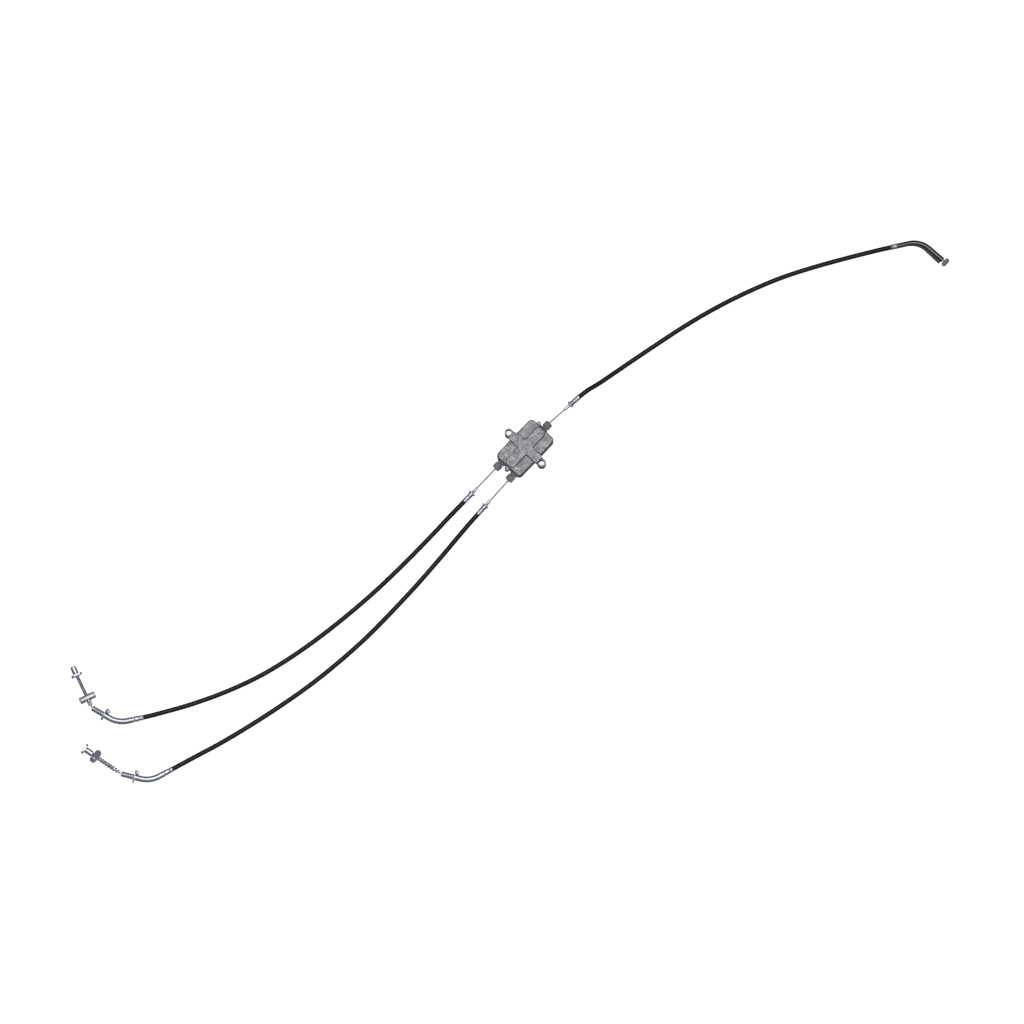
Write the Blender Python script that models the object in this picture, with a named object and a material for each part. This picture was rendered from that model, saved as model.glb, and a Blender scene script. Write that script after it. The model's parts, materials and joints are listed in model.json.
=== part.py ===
"""Twin front brake cable with an equaliser box, for a small quad bike.

One lever cable pulls a balance beam inside a cast box, and the beam pulls two brake cables.
Metres. +X runs along the box towards the lever cable, +Z is up, and the origin is the middle
of the box's flat back, on the surface that everything lies on.
"""

import math

import bmesh
import bpy
from mathutils import Matrix, Vector

MM = 0.001
GAP = 0.3 * MM

# Cables
CONDUIT_D = 6.4 * MM
WIRE_D = 2.0 * MM
CABLE_Z = 9.5 * MM
PARTING_LOW = CABLE_Z - GAP / 2
PARTING_HIGH = CABLE_Z + GAP / 2
ROUTE_SPACING = 15 * MM

# Equaliser box
CASE_LENGTH = 70 * MM
CASE_WIDTH = 44 * MM
CASE_CORNER = 6 * MM
CASE_WALL = 4 * MM
CASE_SIDE_WALL = 3 * MM
CASE_FLOOR = 2.5 * MM
COVER_TOP = 17 * MM
COVER_CEILING = 14.5 * MM
CROSS_TOP = 19.4 * MM
CROSS_STRAP = 12.8 * MM
CROSS_BOSS = 14 * MM
CROSS_REACH = 25.5 * MM
LUG_SPACING = 60 * MM
LUG_D = 11.6 * MM
LUG_HOLE_D = 7 * MM
LUG_TOP = 16 * MM
LUG_WEB = 9 * MM
LUG_WEB_NEAR = 19 * MM
LUG_WEB_FAR = 27 * MM
LUG_WEB_TOP = 14.2 * MM
EAR_D = 6.4 * MM
EAR_BOTTOM = 3 * MM
EAR_TOP = 15.6 * MM
RIVET_D = 2.6 * MM
RIVET_HEAD_D = 4.2 * MM
INPUT_EAR = Vector((36.0, 9.3, 0)) * MM
OUTPUT_EAR = Vector((-36.8, -1.0, 0)) * MM
EARS = (("input", INPUT_EAR), ("output", OUTPUT_EAR))

# Boots in the box's end walls
BOOT_D = 11.4 * MM
BOOT_REACH = 12.5 * MM
BOOT_NECK_D = 8.0 * MM
BOOT_BORE_D = 6.2 * MM
BOOT_LIP_BORE_D = 3.8 * MM

# Balance beam and its slider
PULL_Y = -0.8 * MM
BEAM_HALF_SPAN = 11.1 * MM
BEAM_END_R = 4.3 * MM
BEAM_THICKNESS = 5 * MM
PIVOT_D = 4 * MM
NIPPLE_D = 4.9 * MM
NIPPLE_HEIGHT = 5 * MM
SLIDER_WIDTH = 18.4 * MM
SLIDER_BACK = -5.5 * MM
SLIDER_FRONT = 17.5 * MM
SLIDER_WEB_BACK = 7.4 * MM
SLIDER_BOTTOM = 2.8 * MM
SLIDER_TOP = 14.2 * MM
SLIDER_GAP_BOTTOM = 6.7 * MM
SLIDER_GAP_TOP = 12.3 * MM
CROSSBAR_X = 11.6 * MM
CROSSBAR_D = 4.6 * MM
CROSSBAR_LENGTH = 7.6 * MM
RAIL_TOP = 6 * MM
RAIL_X = 9 * MM
RAIL_LENGTH = 42 * MM
RAIL_THICKNESS = 1.6 * MM
RAIL_CLEARANCE = 1.2 * MM
WIRE_SLIT = 4 * MM

# Wire lines: a point on each line, and its heading in degrees from +X
LEVER_LINE_X = 50 * MM
LEVER_HEADING = -5.0
RIGHT_TOE = 1.5

# Ferrules where the conduits end near the box, measured from the conduit's face
FERRULE_CUP_D = 7.0 * MM
FERRULE_CUP = 14.6 * MM
FERRULE_COLLAR_D = 10.6 * MM
FERRULE_COLLAR = 1.2 * MM
FERRULE_LENGTH = 25 * MM
FERRULE_SPIGOT_D = 4.0 * MM
FERRULE_BORE_D = 2.7 * MM
OUTPUT_FERRULE_X = -108.1 * MM
LEVER_FERRULE_REACH = 50 * MM

# Brake ends: bent pipe, stop plate, sleeve, then rod, spring, barrel and nut
PIPE_D = 8.0 * MM
PIPE_BORE_D = 4.4 * MM
PIPE_BEND_R = 34 * MM
PIPE_BEND = 43.0
PIPE_STRAIGHT = 7 * MM
PIPE_TAIL = 8 * MM
CRIMP_D = 7.6 * MM
CRIMP_LENGTH = 12 * MM
PLATE_T = 1.6 * MM
PLATE_WIDTH = 18 * MM
PLATE_HEIGHT = 13 * MM
SLEEVE_D = 7.2 * MM
SLEEVE_BORE_D = 6.0 * MM
SLEEVE_LENGTH = 18 * MM
ROD_D = 4.8 * MM
ROD_START = 9 * MM
ROD_END = 61 * MM
BARREL_D = 9 * MM
BARREL_LENGTH = 22.5 * MM
BARREL_BORE_D = 5.6 * MM
NUT_LENGTH = 14.2 * MM
NUT_BODY_D = 7.8 * MM
NUT_BORE_D = 5.3 * MM
NUT_WING_SPAN = 15.2 * MM
NUT_WING_D = 8.8 * MM
NUT_WING_T = 2.8 * MM
NUT_SADDLE = 1.3 * MM
SPRING_D = 7.4 * MM
SPRING_WIRE_D = 0.95 * MM
LEFT_ROD_BEND = 34.0
LEFT_BARREL_X = 15.4 * MM
LEFT_NUT_X = 47.6 * MM
LEFT_SPRING = (4.2 * MM, 10.1 * MM, 3)
RIGHT_ROD_BEND = 20.0
RIGHT_BARREL_X = 41 * MM
RIGHT_BARREL_ROLL = 48.0
RIGHT_SPRING = (2.9 * MM, 35.7 * MM, 8)

# Lever end: crimp, elbow pipe with a guard inside its bend, crossbar nipple
ELBOW_D = 7.0 * MM
ELBOW_BORE_D = 3.6 * MM
ELBOW_BEND_R = 30.6 * MM
ELBOW_BEND = 54.0
ELBOW_EXIT = 24.2 * MM
ELBOW_TAIL = 16.2 * MM
ELBOW_CRIMP = 8 * MM
LEVER_NIPPLE_D = 6.2 * MM
LEVER_NIPPLE_LENGTH = 12.4 * MM
LEVER_NIPPLE_X = 4.6 * MM
GUARD_T = 5.4 * MM
GUARD_DEPTH = 3.4 * MM

# Routes of the three free conduits between their end fittings
LEVER_ROUTE = [
    (0.1275, -0.0098, 0.0068),
    (0.1500, -0.0145, 0.0045),
    (0.1745, -0.0195, 0.0033),
    (0.2214, -0.0298, 0.0032),
    (0.2682, -0.0408, 0.0032),
    (0.3144, -0.0541, 0.0032),
    (0.3597, -0.0704, 0.0032),
    (0.4036, -0.0895, 0.0032),
    (0.4458, -0.1124, 0.0032),
    (0.4869, -0.1372, 0.0032),
    (0.5150, -0.1551, 0.0033),
]
LEFT_ROUTE = [
    (-0.1333, 0.0109, 0.0069),
    (-0.1570, 0.0110, 0.0045),
    (-0.1817, 0.0111, 0.0033),
    (-0.2299, 0.0120, 0.0032),
    (-0.2780, 0.0144, 0.0032),
    (-0.3260, 0.0192, 0.0032),
    (-0.3737, 0.0260, 0.0032),
    (-0.4209, 0.0355, 0.0032),
    (-0.4672, 0.0486, 0.0032),
    (-0.5117, 0.0664, 0.0034),
    (-0.5546, 0.0878, 0.0043),
    (-0.5860, 0.1062, 0.0055),
]
RIGHT_ROUTE = [
    (-0.1336, -0.0154, 0.0069),
    (-0.1575, -0.0166, 0.0045),
    (-0.1818, -0.0180, 0.0033),
    (-0.2300, -0.0202, 0.0032),
    (-0.2782, -0.0208, 0.0032),
    (-0.3265, -0.0201, 0.0032),
    (-0.3746, -0.0164, 0.0032),
    (-0.4224, -0.0102, 0.0032),
    (-0.4696, -0.0011, 0.0032),
    (-0.5165, 0.0100, 0.0032),
    (-0.5629, 0.0228, 0.0034),
    (-0.6040, 0.0362, 0.0042),
]

# Where each brake end's stop plate stands: middle, heading, pitch, all about the box's frame
LEFT_PLATE = Vector((-643.9, 161.8, 7.0)) * MM
LEFT_HEADING = 102.9
LEFT_PITCH = 0.0
RIGHT_PLATE = Vector((-676.9, 74.9, 8.2)) * MM
RIGHT_HEADING = 119.2
RIGHT_PITCH = 3.5
LEVER_MOUTH = Vector((570.0, -231.3, 3.8)) * MM
LEVER_MOUTH_HEADING = -88.3


def frame_at(point, heading=0.0, pitch=0.0):
    """Local frame whose X points along a heading about Z, then up by the pitch; degrees."""
    turn = Matrix.Rotation(math.radians(heading), 4, "Z")
    tip = Matrix.Rotation(math.radians(-pitch), 4, "Y")
    return Matrix.Translation(point) @ turn @ tip


def along_x(frame, distance):
    """The same frame, moved along its own X."""
    return frame @ Matrix.Translation((distance, 0, 0))


def turned_round(frame):
    return frame @ Matrix.Rotation(math.pi, 4, "Z")


def clear_scene():
    for obj in list(bpy.data.objects):
        bpy.data.objects.remove(obj, do_unlink=True)


def material(name, color, roughness, metallic):
    made = bpy.data.materials.new(name)
    made.use_nodes = True
    shader = made.node_tree.nodes["Principled BSDF"]
    shader.inputs["Base Color"].default_value = (*color, 1)
    shader.inputs["Roughness"].default_value = roughness
    shader.inputs["Metallic"].default_value = metallic
    made.diffuse_color = (*color, 1)
    return made


# ---------------------------------------------------------------- shapes


def arc(centre, radius, start, end, steps):
    """Points of a flat arc, angles in degrees."""
    points = []
    for step in range(steps + 1):
        turn = math.radians(start + (end - start) * step / steps)
        points.append((centre[0] + radius * math.cos(turn), centre[1] + radius * math.sin(turn)))
    return points


def rounded_rectangle(half_x, half_y, radius, steps=4):
    points = []
    corners = ((1, 1, 0), (-1, 1, 90), (-1, -1, 180), (1, -1, 270))
    for side_x, side_y, start in corners:
        centre = (side_x * (half_x - radius), side_y * (half_y - radius))
        points += arc(centre, radius, start, start + 90, steps)
    return points


def loft(name, rings, finish, place=None, ring_loop=False):
    """A closed solid through rings of equal counts, capped at both ends or joined end to end."""
    mesh = bmesh.new()
    rows = [[mesh.verts.new(point) for point in ring] for ring in rings]
    pairs = list(zip(rows, rows[1:]))
    if ring_loop:
        pairs.append((rows[-1], rows[0]))
    for low, high in pairs:
        for index in range(len(low)):
            after = (index + 1) % len(low)
            mesh.faces.new((low[index], low[after], high[after], high[index]))
    if not ring_loop:
        mesh.faces.new(rows[0][::-1])
        mesh.faces.new(rows[-1])
    bmesh.ops.recalc_face_normals(mesh, faces=mesh.faces)
    data = bpy.data.meshes.new(name)
    mesh.to_mesh(data)
    mesh.free()
    data.shade_smooth()
    data.set_sharp_from_angle(angle=math.radians(35))
    data.materials.append(finish)
    obj = bpy.data.objects.new(name, data)
    bpy.context.scene.collection.objects.link(obj)
    obj.matrix_world = place or Matrix()
    return obj


def slab(name, outline, low, high, finish, place=None):
    """A flat outline raised from one height to another."""
    rings = [[Vector((x, y, z)) for x, y in outline] for z in (low, high)]
    return loft(name, rings, finish, place)


def soft_block(name, half_x, half_y, corner, levels, finish):
    """A rounded block; each level is a height and how far the outline draws in there."""
    rings = []
    for height, inset in levels:
        outline = rounded_rectangle(half_x - inset, half_y - inset, corner - inset)
        rings.append([Vector((x, y, height)) for x, y in outline])
    return loft(name, rings, finish)


def circle(radius, sides, place):
    points = []
    for side in range(sides):
        turn = 2 * math.pi * side / sides
        points.append(place @ Vector((0, radius * math.cos(turn), radius * math.sin(turn))))
    return points


def turned(name, profile, finish, place=None, sides=20, bored=False):
    """A piece turned about local X from (x, radius) points; bored means the profile closes."""
    rings = [circle(radius, sides, Matrix.Translation((x, 0, 0))) for x, radius in profile]
    return loft(name, rings, finish, place, ring_loop=bored)


def tube_profile(start, end, outer_d, bore_d, chamfer=0.4 * MM):
    outer = outer_d / 2
    bore = bore_d / 2
    return [
        (start, bore),
        (start, outer - chamfer),
        (start + chamfer, outer),
        (end - chamfer, outer),
        (end, outer - chamfer),
        (end, bore),
    ]


def pin_profile(start, end, diameter, chamfer=0.3 * MM):
    radius = diameter / 2
    return [
        (start, radius - chamfer),
        (start + chamfer, radius),
        (end - chamfer, radius),
        (end, radius - chamfer),
    ]


def frames_along(points, up):
    """A frame at each point, X along the path and Z as near to up as it goes."""
    frames = []
    for index, point in enumerate(points):
        before = points[max(index - 1, 0)]
        after = points[min(index + 1, len(points) - 1)]
        along = (after - before).normalized()
        side = up.cross(along).normalized()
        top = along.cross(side)
        turn = Matrix((along, side, top)).transposed().to_4x4()
        frames.append(Matrix.Translation(point) @ turn)
    return frames


def bent_tube(name, path, outer_d, bore_d, finish, place, sides=14):
    """A pipe along a path: the outer skin out and the bore back, closed at both ends."""
    frames = frames_along(path, Vector((0, 0, 1)))
    rings = [circle(outer_d / 2, sides, frame) for frame in frames]
    rings += [circle(bore_d / 2, sides, frame) for frame in reversed(frames)]
    return loft(name, rings, finish, place, ring_loop=True)


def coil(name, start, end, turns, finish, place, sides=6, steps=12):
    """A compression spring about local X, from the middle of its first wire to its last."""
    radius = (SPRING_D - SPRING_WIRE_D) / 2
    points = []
    for step in range(turns * steps + 1):
        turn = 2 * math.pi * step / steps
        along = start + (end - start) * step / (turns * steps)
        points.append(Vector((along, radius * math.cos(turn), radius * math.sin(turn))))
    frames = frames_along(points, Vector((1, 0, 0)))
    rings = [circle(SPRING_WIRE_D / 2, sides, frame) for frame in frames]
    return loft(name, rings, finish, place)


def change(target, operation, *others):
    """Joins or cuts a piece with helper shapes, which stay out of the model themselves."""
    for other in others:
        other.hide_render = True
        other.display_type = "WIRE"
        modifier = target.modifiers.new(other.name, "BOOLEAN")
        modifier.operation = operation
        modifier.object = other


def bore(name, diameter, length, place, sides=20):
    """A cutter along local X, centred on the frame."""
    profile = [(-length / 2, diameter / 2), (length / 2, diameter / 2)]
    return turned(name, profile, None, place, sides)


def cut_bore(target, label, diameter, length, place, sides=20):
    change(target, "DIFFERENCE", bore(label, diameter, length, place, sides))


def cut_slab(target, label, outline, low, high, place=None):
    change(target, "DIFFERENCE", slab(label, outline, low, high, None, place))


def upright(x, y, z=0.0):
    """Frame whose local X points up."""
    return Matrix.Translation((x, y, z)) @ Matrix.Rotation(math.radians(-90), 4, "Y")


# ---------------------------------------------------------------- free cables


def smooth_route(points):
    """Evenly spaced points on a smooth curve through the route's own points."""
    ends = [points[0] * 2 - points[1], *points, points[-1] * 2 - points[-2]]
    fine = []
    for a, b, c, d in zip(ends, ends[1:], ends[2:], ends[3:]):
        for step in range(24):
            t = step / 24
            fine.append(
                0.5
                * (
                    2 * b
                    + (c - a) * t
                    + (2 * a - 5 * b + 4 * c - d) * t**2
                    + (3 * b - a - 3 * c + d) * t**3
                )
            )
    fine.append(points[-1])
    lengths = [0.0]
    for low, high in zip(fine, fine[1:]):
        lengths.append(lengths[-1] + (high - low).length)
    count = round(lengths[-1] / ROUTE_SPACING)
    even = []
    index = 0
    for step in range(count + 1):
        want = lengths[-1] * step / count
        while index < len(fine) - 2 and lengths[index + 1] < want:
            index += 1
        share = (want - lengths[index]) / (lengths[index + 1] - lengths[index])
        even.append(fine[index].lerp(fine[index + 1], min(share, 1)))
    return even


def conduit(name, start, route, end, finish):
    """A free outer cable from one fitting's frame to another's, leaving each straight."""
    lead = 9 * MM
    points = [start @ Vector((GAP, 0, 0)), start @ Vector((GAP + lead, 0, 0))]
    points += [Vector(point) for point in route]
    points += [end @ Vector((GAP + lead, 0, 0)), end @ Vector((GAP, 0, 0))]
    data = bpy.data.curves.new(name, "CURVE")
    data.dimensions = "3D"
    data.bevel_depth = CONDUIT_D / 2
    data.bevel_resolution = 2
    data.use_fill_caps = True
    spline = data.splines.new("POLY")
    even = smooth_route(points)
    spline.points.add(len(even) - 1)
    for control, point in zip(spline.points, even):
        control.co = (*point, 1)
    data.materials.append(finish)
    obj = bpy.data.objects.new(name, data)
    bpy.context.scene.collection.objects.link(obj)


def box_ferrule(name, face, finish):
    """Ferrule on a conduit's end near the box; the frame's X points away from the conduit."""
    cup = FERRULE_CUP_D / 2
    collar = FERRULE_COLLAR_D / 2
    spigot = FERRULE_SPIGOT_D / 2
    hole = FERRULE_BORE_D / 2
    collar_end = FERRULE_CUP + FERRULE_COLLAR
    profile = [
        (0, hole),
        (0, cup),
        (8.2 * MM, cup),
        (8.8 * MM, cup - 0.45 * MM),
        (10.2 * MM, cup - 0.45 * MM),
        (10.8 * MM, cup),
        (FERRULE_CUP, cup),
        (FERRULE_CUP, collar),
        (collar_end, collar),
        (collar_end, spigot),
        (FERRULE_LENGTH - 0.4 * MM, spigot),
        (FERRULE_LENGTH, spigot - 0.3 * MM),
        (FERRULE_LENGTH, hole),
    ]
    turned(name, profile, finish, face, sides=16, bored=True)


# ---------------------------------------------------------------- equaliser box


def cross_outline():
    """The raised cross: a strap across to the lugs and a round-ended boss along the box."""
    strap = CROSS_STRAP / 2
    boss = CROSS_BOSS / 2
    reach = CASE_LENGTH / 2 - 1.6 * MM
    round_r = 5.5 * MM
    quarter = arc((reach - round_r, boss - round_r), round_r, 0, 90, 4)
    quarter += [(strap, boss), (strap, CROSS_REACH)]
    points = list(quarter)
    points += [(-x, y) for x, y in reversed(quarter)]
    points += [(-x, -y) for x, y in quarter]
    points += [(x, -y) for x, y in reversed(quarter)]
    return points


def boot_places():
    """Name, frame with X out of the box, for each boot."""
    right_y = PULL_Y - BEAM_HALF_SPAN - 39 * MM * math.tan(math.radians(RIGHT_TOE))
    edge = CASE_LENGTH / 2
    return (
        ("lever_boot", frame_at((edge, 0, CABLE_Z))),
        ("left_boot", frame_at((-edge, PULL_Y + BEAM_HALF_SPAN, CABLE_Z), 180)),
        ("right_boot", frame_at((-edge, right_y, CABLE_Z), 180)),
    )


def case_shells(cast):
    """The two halves of the case as solid blocks, with the raised cross on the cover."""
    half_x = CASE_LENGTH / 2
    half_y = CASE_WIDTH / 2
    body_levels = ((0, 0.8 * MM), (0.8 * MM, 0), (PARTING_LOW, 0))
    body = soft_block("case_body", half_x, half_y, CASE_CORNER, body_levels, cast)
    cover_levels = (
        (PARTING_HIGH, 0),
        (COVER_TOP - 2 * MM, 0),
        (COVER_TOP - 0.6 * MM, 0.6 * MM),
        (COVER_TOP, 2 * MM),
    )
    cover = soft_block("case_cover", half_x, half_y, CASE_CORNER, cover_levels, cast)
    change(cover, "UNION", slab("cross", cross_outline(), COVER_TOP - 4 * MM, CROSS_TOP, cast))
    return body, cover


def add_lugs(cover, cast):
    """A post beside each long wall for a mounting bolt, joined to the wall by a web."""
    half_web = LUG_WEB / 2
    for side in (1, -1):
        place = upright(0, side * LUG_SPACING / 2)
        post = turned(f"lug_post_{side}", pin_profile(0, LUG_TOP, LUG_D, 0.5 * MM), cast, place, 24)
        near, far = sorted((side * LUG_WEB_NEAR, side * LUG_WEB_FAR))
        outline = [(-half_web, near), (half_web, near), (half_web, far), (-half_web, far)]
        web = slab(f"lug_web_{side}", outline, PARTING_HIGH, LUG_WEB_TOP, cast)
        change(cover, "UNION", post, web)


def add_ears(body, cover, cast):
    """Half of each rivet ear on each half of the case."""
    for label, ear in EARS:
        outline = arc(ear, EAR_D / 2, 0, 337.5, 15)
        change(body, "UNION", slab(f"{label}_ear_low", outline, EAR_BOTTOM, PARTING_LOW, cast))
        change(cover, "UNION", slab(f"{label}_ear_high", outline, PARTING_HIGH, EAR_TOP, cast))


def hollow_out(body, cover, cast):
    """The cavity for the beam and its slider, with two guide rails on the floor."""
    inner_x = CASE_LENGTH / 2 - CASE_WALL
    inner_y = CASE_WIDTH / 2 - CASE_SIDE_WALL
    inner = rounded_rectangle(inner_x, inner_y, 1.5 * MM)
    cut_slab(body, "body_hollow", inner, CASE_FLOOR, CABLE_Z + 2.5 * MM)
    cut_slab(cover, "cover_hollow", inner, CABLE_Z - 2.5 * MM, COVER_CEILING)
    rail = rounded_rectangle(RAIL_LENGTH / 2, RAIL_THICKNESS / 2, 0.3 * MM, 1)
    for side in (1, -1):
        rail_y = PULL_Y + side * (SLIDER_WIDTH / 2 + RAIL_CLEARANCE)
        place = Matrix.Translation((RAIL_X, rail_y, 0))
        change(body, "UNION", slab(f"rail_{side}", rail, CASE_FLOOR - 1 * MM, RAIL_TOP, cast, place))


def cut_holes(body, cover):
    for name, place in boot_places():
        neck = along_x(place, -CASE_WALL / 2)
        for half in (body, cover):
            cut_bore(half, f"{name}_hole_{half.name}", BOOT_NECK_D + 2 * GAP, 11 * MM, neck)
    deep = 20 * MM
    for label, ear in EARS:
        for half, seat in ((body, EAR_BOTTOM - deep / 2), (cover, EAR_TOP + deep / 2)):
            hole = upright(ear.x, ear.y, 10 * MM)
            cut_bore(half, f"{label}_rivet_hole_{half.name}", RIVET_D + 2 * GAP, 40 * MM, hole, 16)
            spot = upright(ear.x, ear.y, seat)
            cut_bore(half, f"{label}_spot_face_{half.name}", RIVET_HEAD_D + 2 * GAP, deep, spot, 16)
    for side in (1, -1):
        hole = upright(0, side * LUG_SPACING / 2, 10 * MM)
        cut_bore(cover, f"lug_hole_{side}", LUG_HOLE_D, 60 * MM, hole, 24)


def rivets(steel):
    shank = RIVET_D / 2
    head = RIVET_HEAD_D / 2
    low = EAR_BOTTOM - GAP
    high = EAR_TOP + GAP
    profile = [
        (low - 0.9 * MM, 1.2 * MM),
        (low, 1.9 * MM),
        (low, shank),
        (high, shank),
        (high, head),
        (high + 0.8 * MM, head * 0.85),
        (high + 1.3 * MM, head * 0.45),
    ]
    for label, ear in EARS:
        turned(f"{label}_rivet", profile, steel, upright(ear.x, ear.y), 14)


def case(cast, steel):
    body, cover = case_shells(cast)
    add_lugs(cover, cast)
    add_ears(body, cover, cast)
    hollow_out(body, cover, cast)
    cut_holes(body, cover)
    rivets(steel)


def boots(rubber):
    outer = BOOT_D / 2
    hole = BOOT_BORE_D / 2
    lip = BOOT_LIP_BORE_D / 2
    flange = 4.9 * MM
    neck = BOOT_NECK_D / 2
    inside = -CASE_WALL - GAP
    profile = [
        (inside - 1.4 * MM, hole),
        (inside - 1.4 * MM, flange),
        (inside, flange),
        (inside, neck),
        (GAP, neck),
        (GAP, outer - 0.5 * MM),
        (1.2 * MM, outer),
        (BOOT_REACH - 3 * MM, outer - 0.2 * MM),
        (BOOT_REACH - 1 * MM, outer - 1.2 * MM),
        (BOOT_REACH, outer - 2.6 * MM),
        (BOOT_REACH, lip),
        (BOOT_REACH - 2 * MM, lip),
        (BOOT_REACH - 2.6 * MM, hole),
    ]
    for name, place in boot_places():
        turned(name, profile, rubber, place, sides=18, bored=True)


def slider(steel):
    """Carriage that holds the beam between two cheeks and the lever wire's crossbar in a pocket."""
    half_y = SLIDER_WIDTH / 2
    middle_x = (SLIDER_FRONT + SLIDER_BACK) / 2
    half_x = (SLIDER_FRONT - SLIDER_BACK) / 2
    place = Matrix.Translation((middle_x, PULL_Y, 0))
    outline = rounded_rectangle(half_x, half_y, 2 * MM, 3)
    carriage = slab("equaliser_slider", outline, SLIDER_BOTTOM, SLIDER_TOP, steel, place)

    reach = SLIDER_WEB_BACK - SLIDER_BACK + 5 * MM
    slot = [(-reach, -15 * MM), (0, -15 * MM), (0, 15 * MM), (-reach, 15 * MM)]
    slot_place = Matrix.Translation((SLIDER_WEB_BACK, PULL_Y, 0))
    cut_slab(carriage, "beam_slot", slot, SLIDER_GAP_BOTTOM, SLIDER_GAP_TOP, slot_place)

    bar = lever_line(CROSSBAR_X)
    half = CROSSBAR_D / 2 + GAP
    pocket = rounded_rectangle(half, CROSSBAR_LENGTH / 2 + 1 * MM, 0.5 * MM, 1)
    pocket_place = Matrix.Translation((CROSSBAR_X, bar.y, 0))
    cut_slab(carriage, "crossbar_pocket", pocket, 6.9 * MM, 20 * MM, pocket_place)
    slit = rounded_rectangle(6 * MM, WIRE_SLIT / 2, 0.3 * MM, 1)
    slit_place = Matrix.Translation((CROSSBAR_X + 6.5 * MM, bar.y - 0.4 * MM, 0))
    cut_slab(carriage, "wire_slit", slit, 7.6 * MM, 20 * MM, slit_place)

    cut_bore(carriage, "slider_pivot_hole", PIVOT_D + 2 * GAP, 30 * MM, upright(0, PULL_Y, CABLE_Z))
    pin = pin_profile(SLIDER_BOTTOM, SLIDER_TOP, PIVOT_D)
    turned("beam_pivot", pin, steel, upright(0, PULL_Y), 16)


def beam(steel):
    half = BEAM_HALF_SPAN
    outline = arc((0, half), BEAM_END_R, 0, 180, 8)
    outline += arc((0, -half), BEAM_END_R, 180, 360, 8)
    low = -BEAM_THICKNESS / 2
    place = Matrix.Translation((0, PULL_Y, CABLE_Z))
    bar = slab("equaliser_beam", outline, low, -low, steel, place)
    cut_bore(bar, "beam_pivot_hole", PIVOT_D + 2 * GAP, 30 * MM, upright(0, PULL_Y, CABLE_Z))
    slit = rounded_rectangle(4 * MM, 1.8 * MM, 0.3 * MM, 1)
    for side in (1, -1):
        end = PULL_Y + side * half
        cut_bore(bar, f"beam_eye_{side}", NIPPLE_D + 2 * GAP, 30 * MM, upright(0, end, CABLE_Z))
        cut_slab(bar, f"beam_slit_{side}", slit, 0, 20 * MM, Matrix.Translation((-4 * MM, end, 0)))


def lever_frame():
    """X along the lever wire's straight line, out of the box."""
    return frame_at((LEVER_LINE_X, 0, CABLE_Z), LEVER_HEADING)


def output_frame(side):
    """X along a brake wire's straight line, out of the box, from the beam's end."""
    if side == "left":
        return frame_at((0, PULL_Y + BEAM_HALF_SPAN, CABLE_Z), 180)
    return frame_at((0, PULL_Y - BEAM_HALF_SPAN, CABLE_Z), 180 + RIGHT_TOE)


def output_reach(side):
    """How far along its line a brake conduit ends."""
    toe = RIGHT_TOE if side == "right" else 0.0
    return -OUTPUT_FERRULE_X / math.cos(math.radians(toe))


def lever_line(x):
    """Point of the lever wire's straight line at this distance along the box."""
    return Vector((x, -(x - LEVER_LINE_X) * math.tan(math.radians(-LEVER_HEADING)), CABLE_Z))


def box_wires(steel, zinc):
    line = lever_frame()
    start = -(LEVER_LINE_X - CROSSBAR_X) / math.cos(math.radians(LEVER_HEADING))
    wire = pin_profile(start + CROSSBAR_D / 2 + GAP, 41 * MM, WIRE_D, 0.2 * MM)
    turned("lever_wire", wire, steel, line, 12)
    bar = frame_at(lever_line(CROSSBAR_X), 90)
    half = CROSSBAR_LENGTH / 2
    turned("lever_wire_crossbar", pin_profile(-half, half, CROSSBAR_D), zinc, bar, 16)
    box_ferrule("lever_box_ferrule", turned_round(along_x(line, LEVER_FERRULE_REACH)), zinc)
    height = NIPPLE_HEIGHT / 2
    nipple = pin_profile(-height, height, NIPPLE_D)
    wire = pin_profile(NIPPLE_D / 2 + GAP, 99 * MM, WIRE_D, 0.2 * MM)
    for side in ("left", "right"):
        out = output_frame(side)
        turned(f"{side}_wire_nipple", nipple, zinc, upright(*out.translation), 16)
        turned(f"{side}_wire", wire, steel, out, 12)
        face = turned_round(along_x(out, output_reach(side)))
        box_ferrule(f"{side}_box_ferrule", face, zinc)


# ---------------------------------------------------------------- brake ends


def bend_back(straight, radius, bend, tail):
    """Path from the local origin backwards: straight, a bend that turns left, then straight."""
    points = [Vector((0, 0, 0)), Vector((-straight, 0, 0))]
    steps = 8
    for step in range(1, steps + 1):
        turn = math.radians(bend * step / steps)
        points.append(Vector((-straight - radius * math.sin(turn), radius * (math.cos(turn) - 1), 0)))
    turn = math.radians(bend)
    heading = Vector((math.cos(turn), math.sin(turn), 0))
    points.append(points[-1] - heading * tail)
    end = frame_at(points[-1], bend)
    return points, end


def stop_plate(name, place, finish):
    """Oval plate across the pipe, with one end rolled back towards the cable."""
    half_w = PLATE_WIDTH / 2
    half_t = PLATE_T / 2
    outline = rounded_rectangle(half_w, PLATE_HEIGHT / 2, PLATE_HEIGHT / 2 - 0.1 * MM, 5)
    shift = 0.6 * MM
    rings = [[Vector((x, y - shift, z)) for y, z in outline] for x in (-half_t, half_t)]
    plate = loft(name, rings, finish, place)
    outer = 3 * MM
    inner = outer - PLATE_T
    centre = (half_t - outer, -half_w + 1.6 * MM)
    roll = arc(centre, outer, 0, -200, 10) + arc(centre, inner, -200, 0, 10)
    tab = slab(f"{name}_roll", roll, -4 * MM, 4 * MM, finish, place)
    change(plate, "UNION", tab)
    cut_bore(plate, f"{name}_hole", SLEEVE_D + 2 * GAP, 12 * MM, place, 16)


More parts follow.
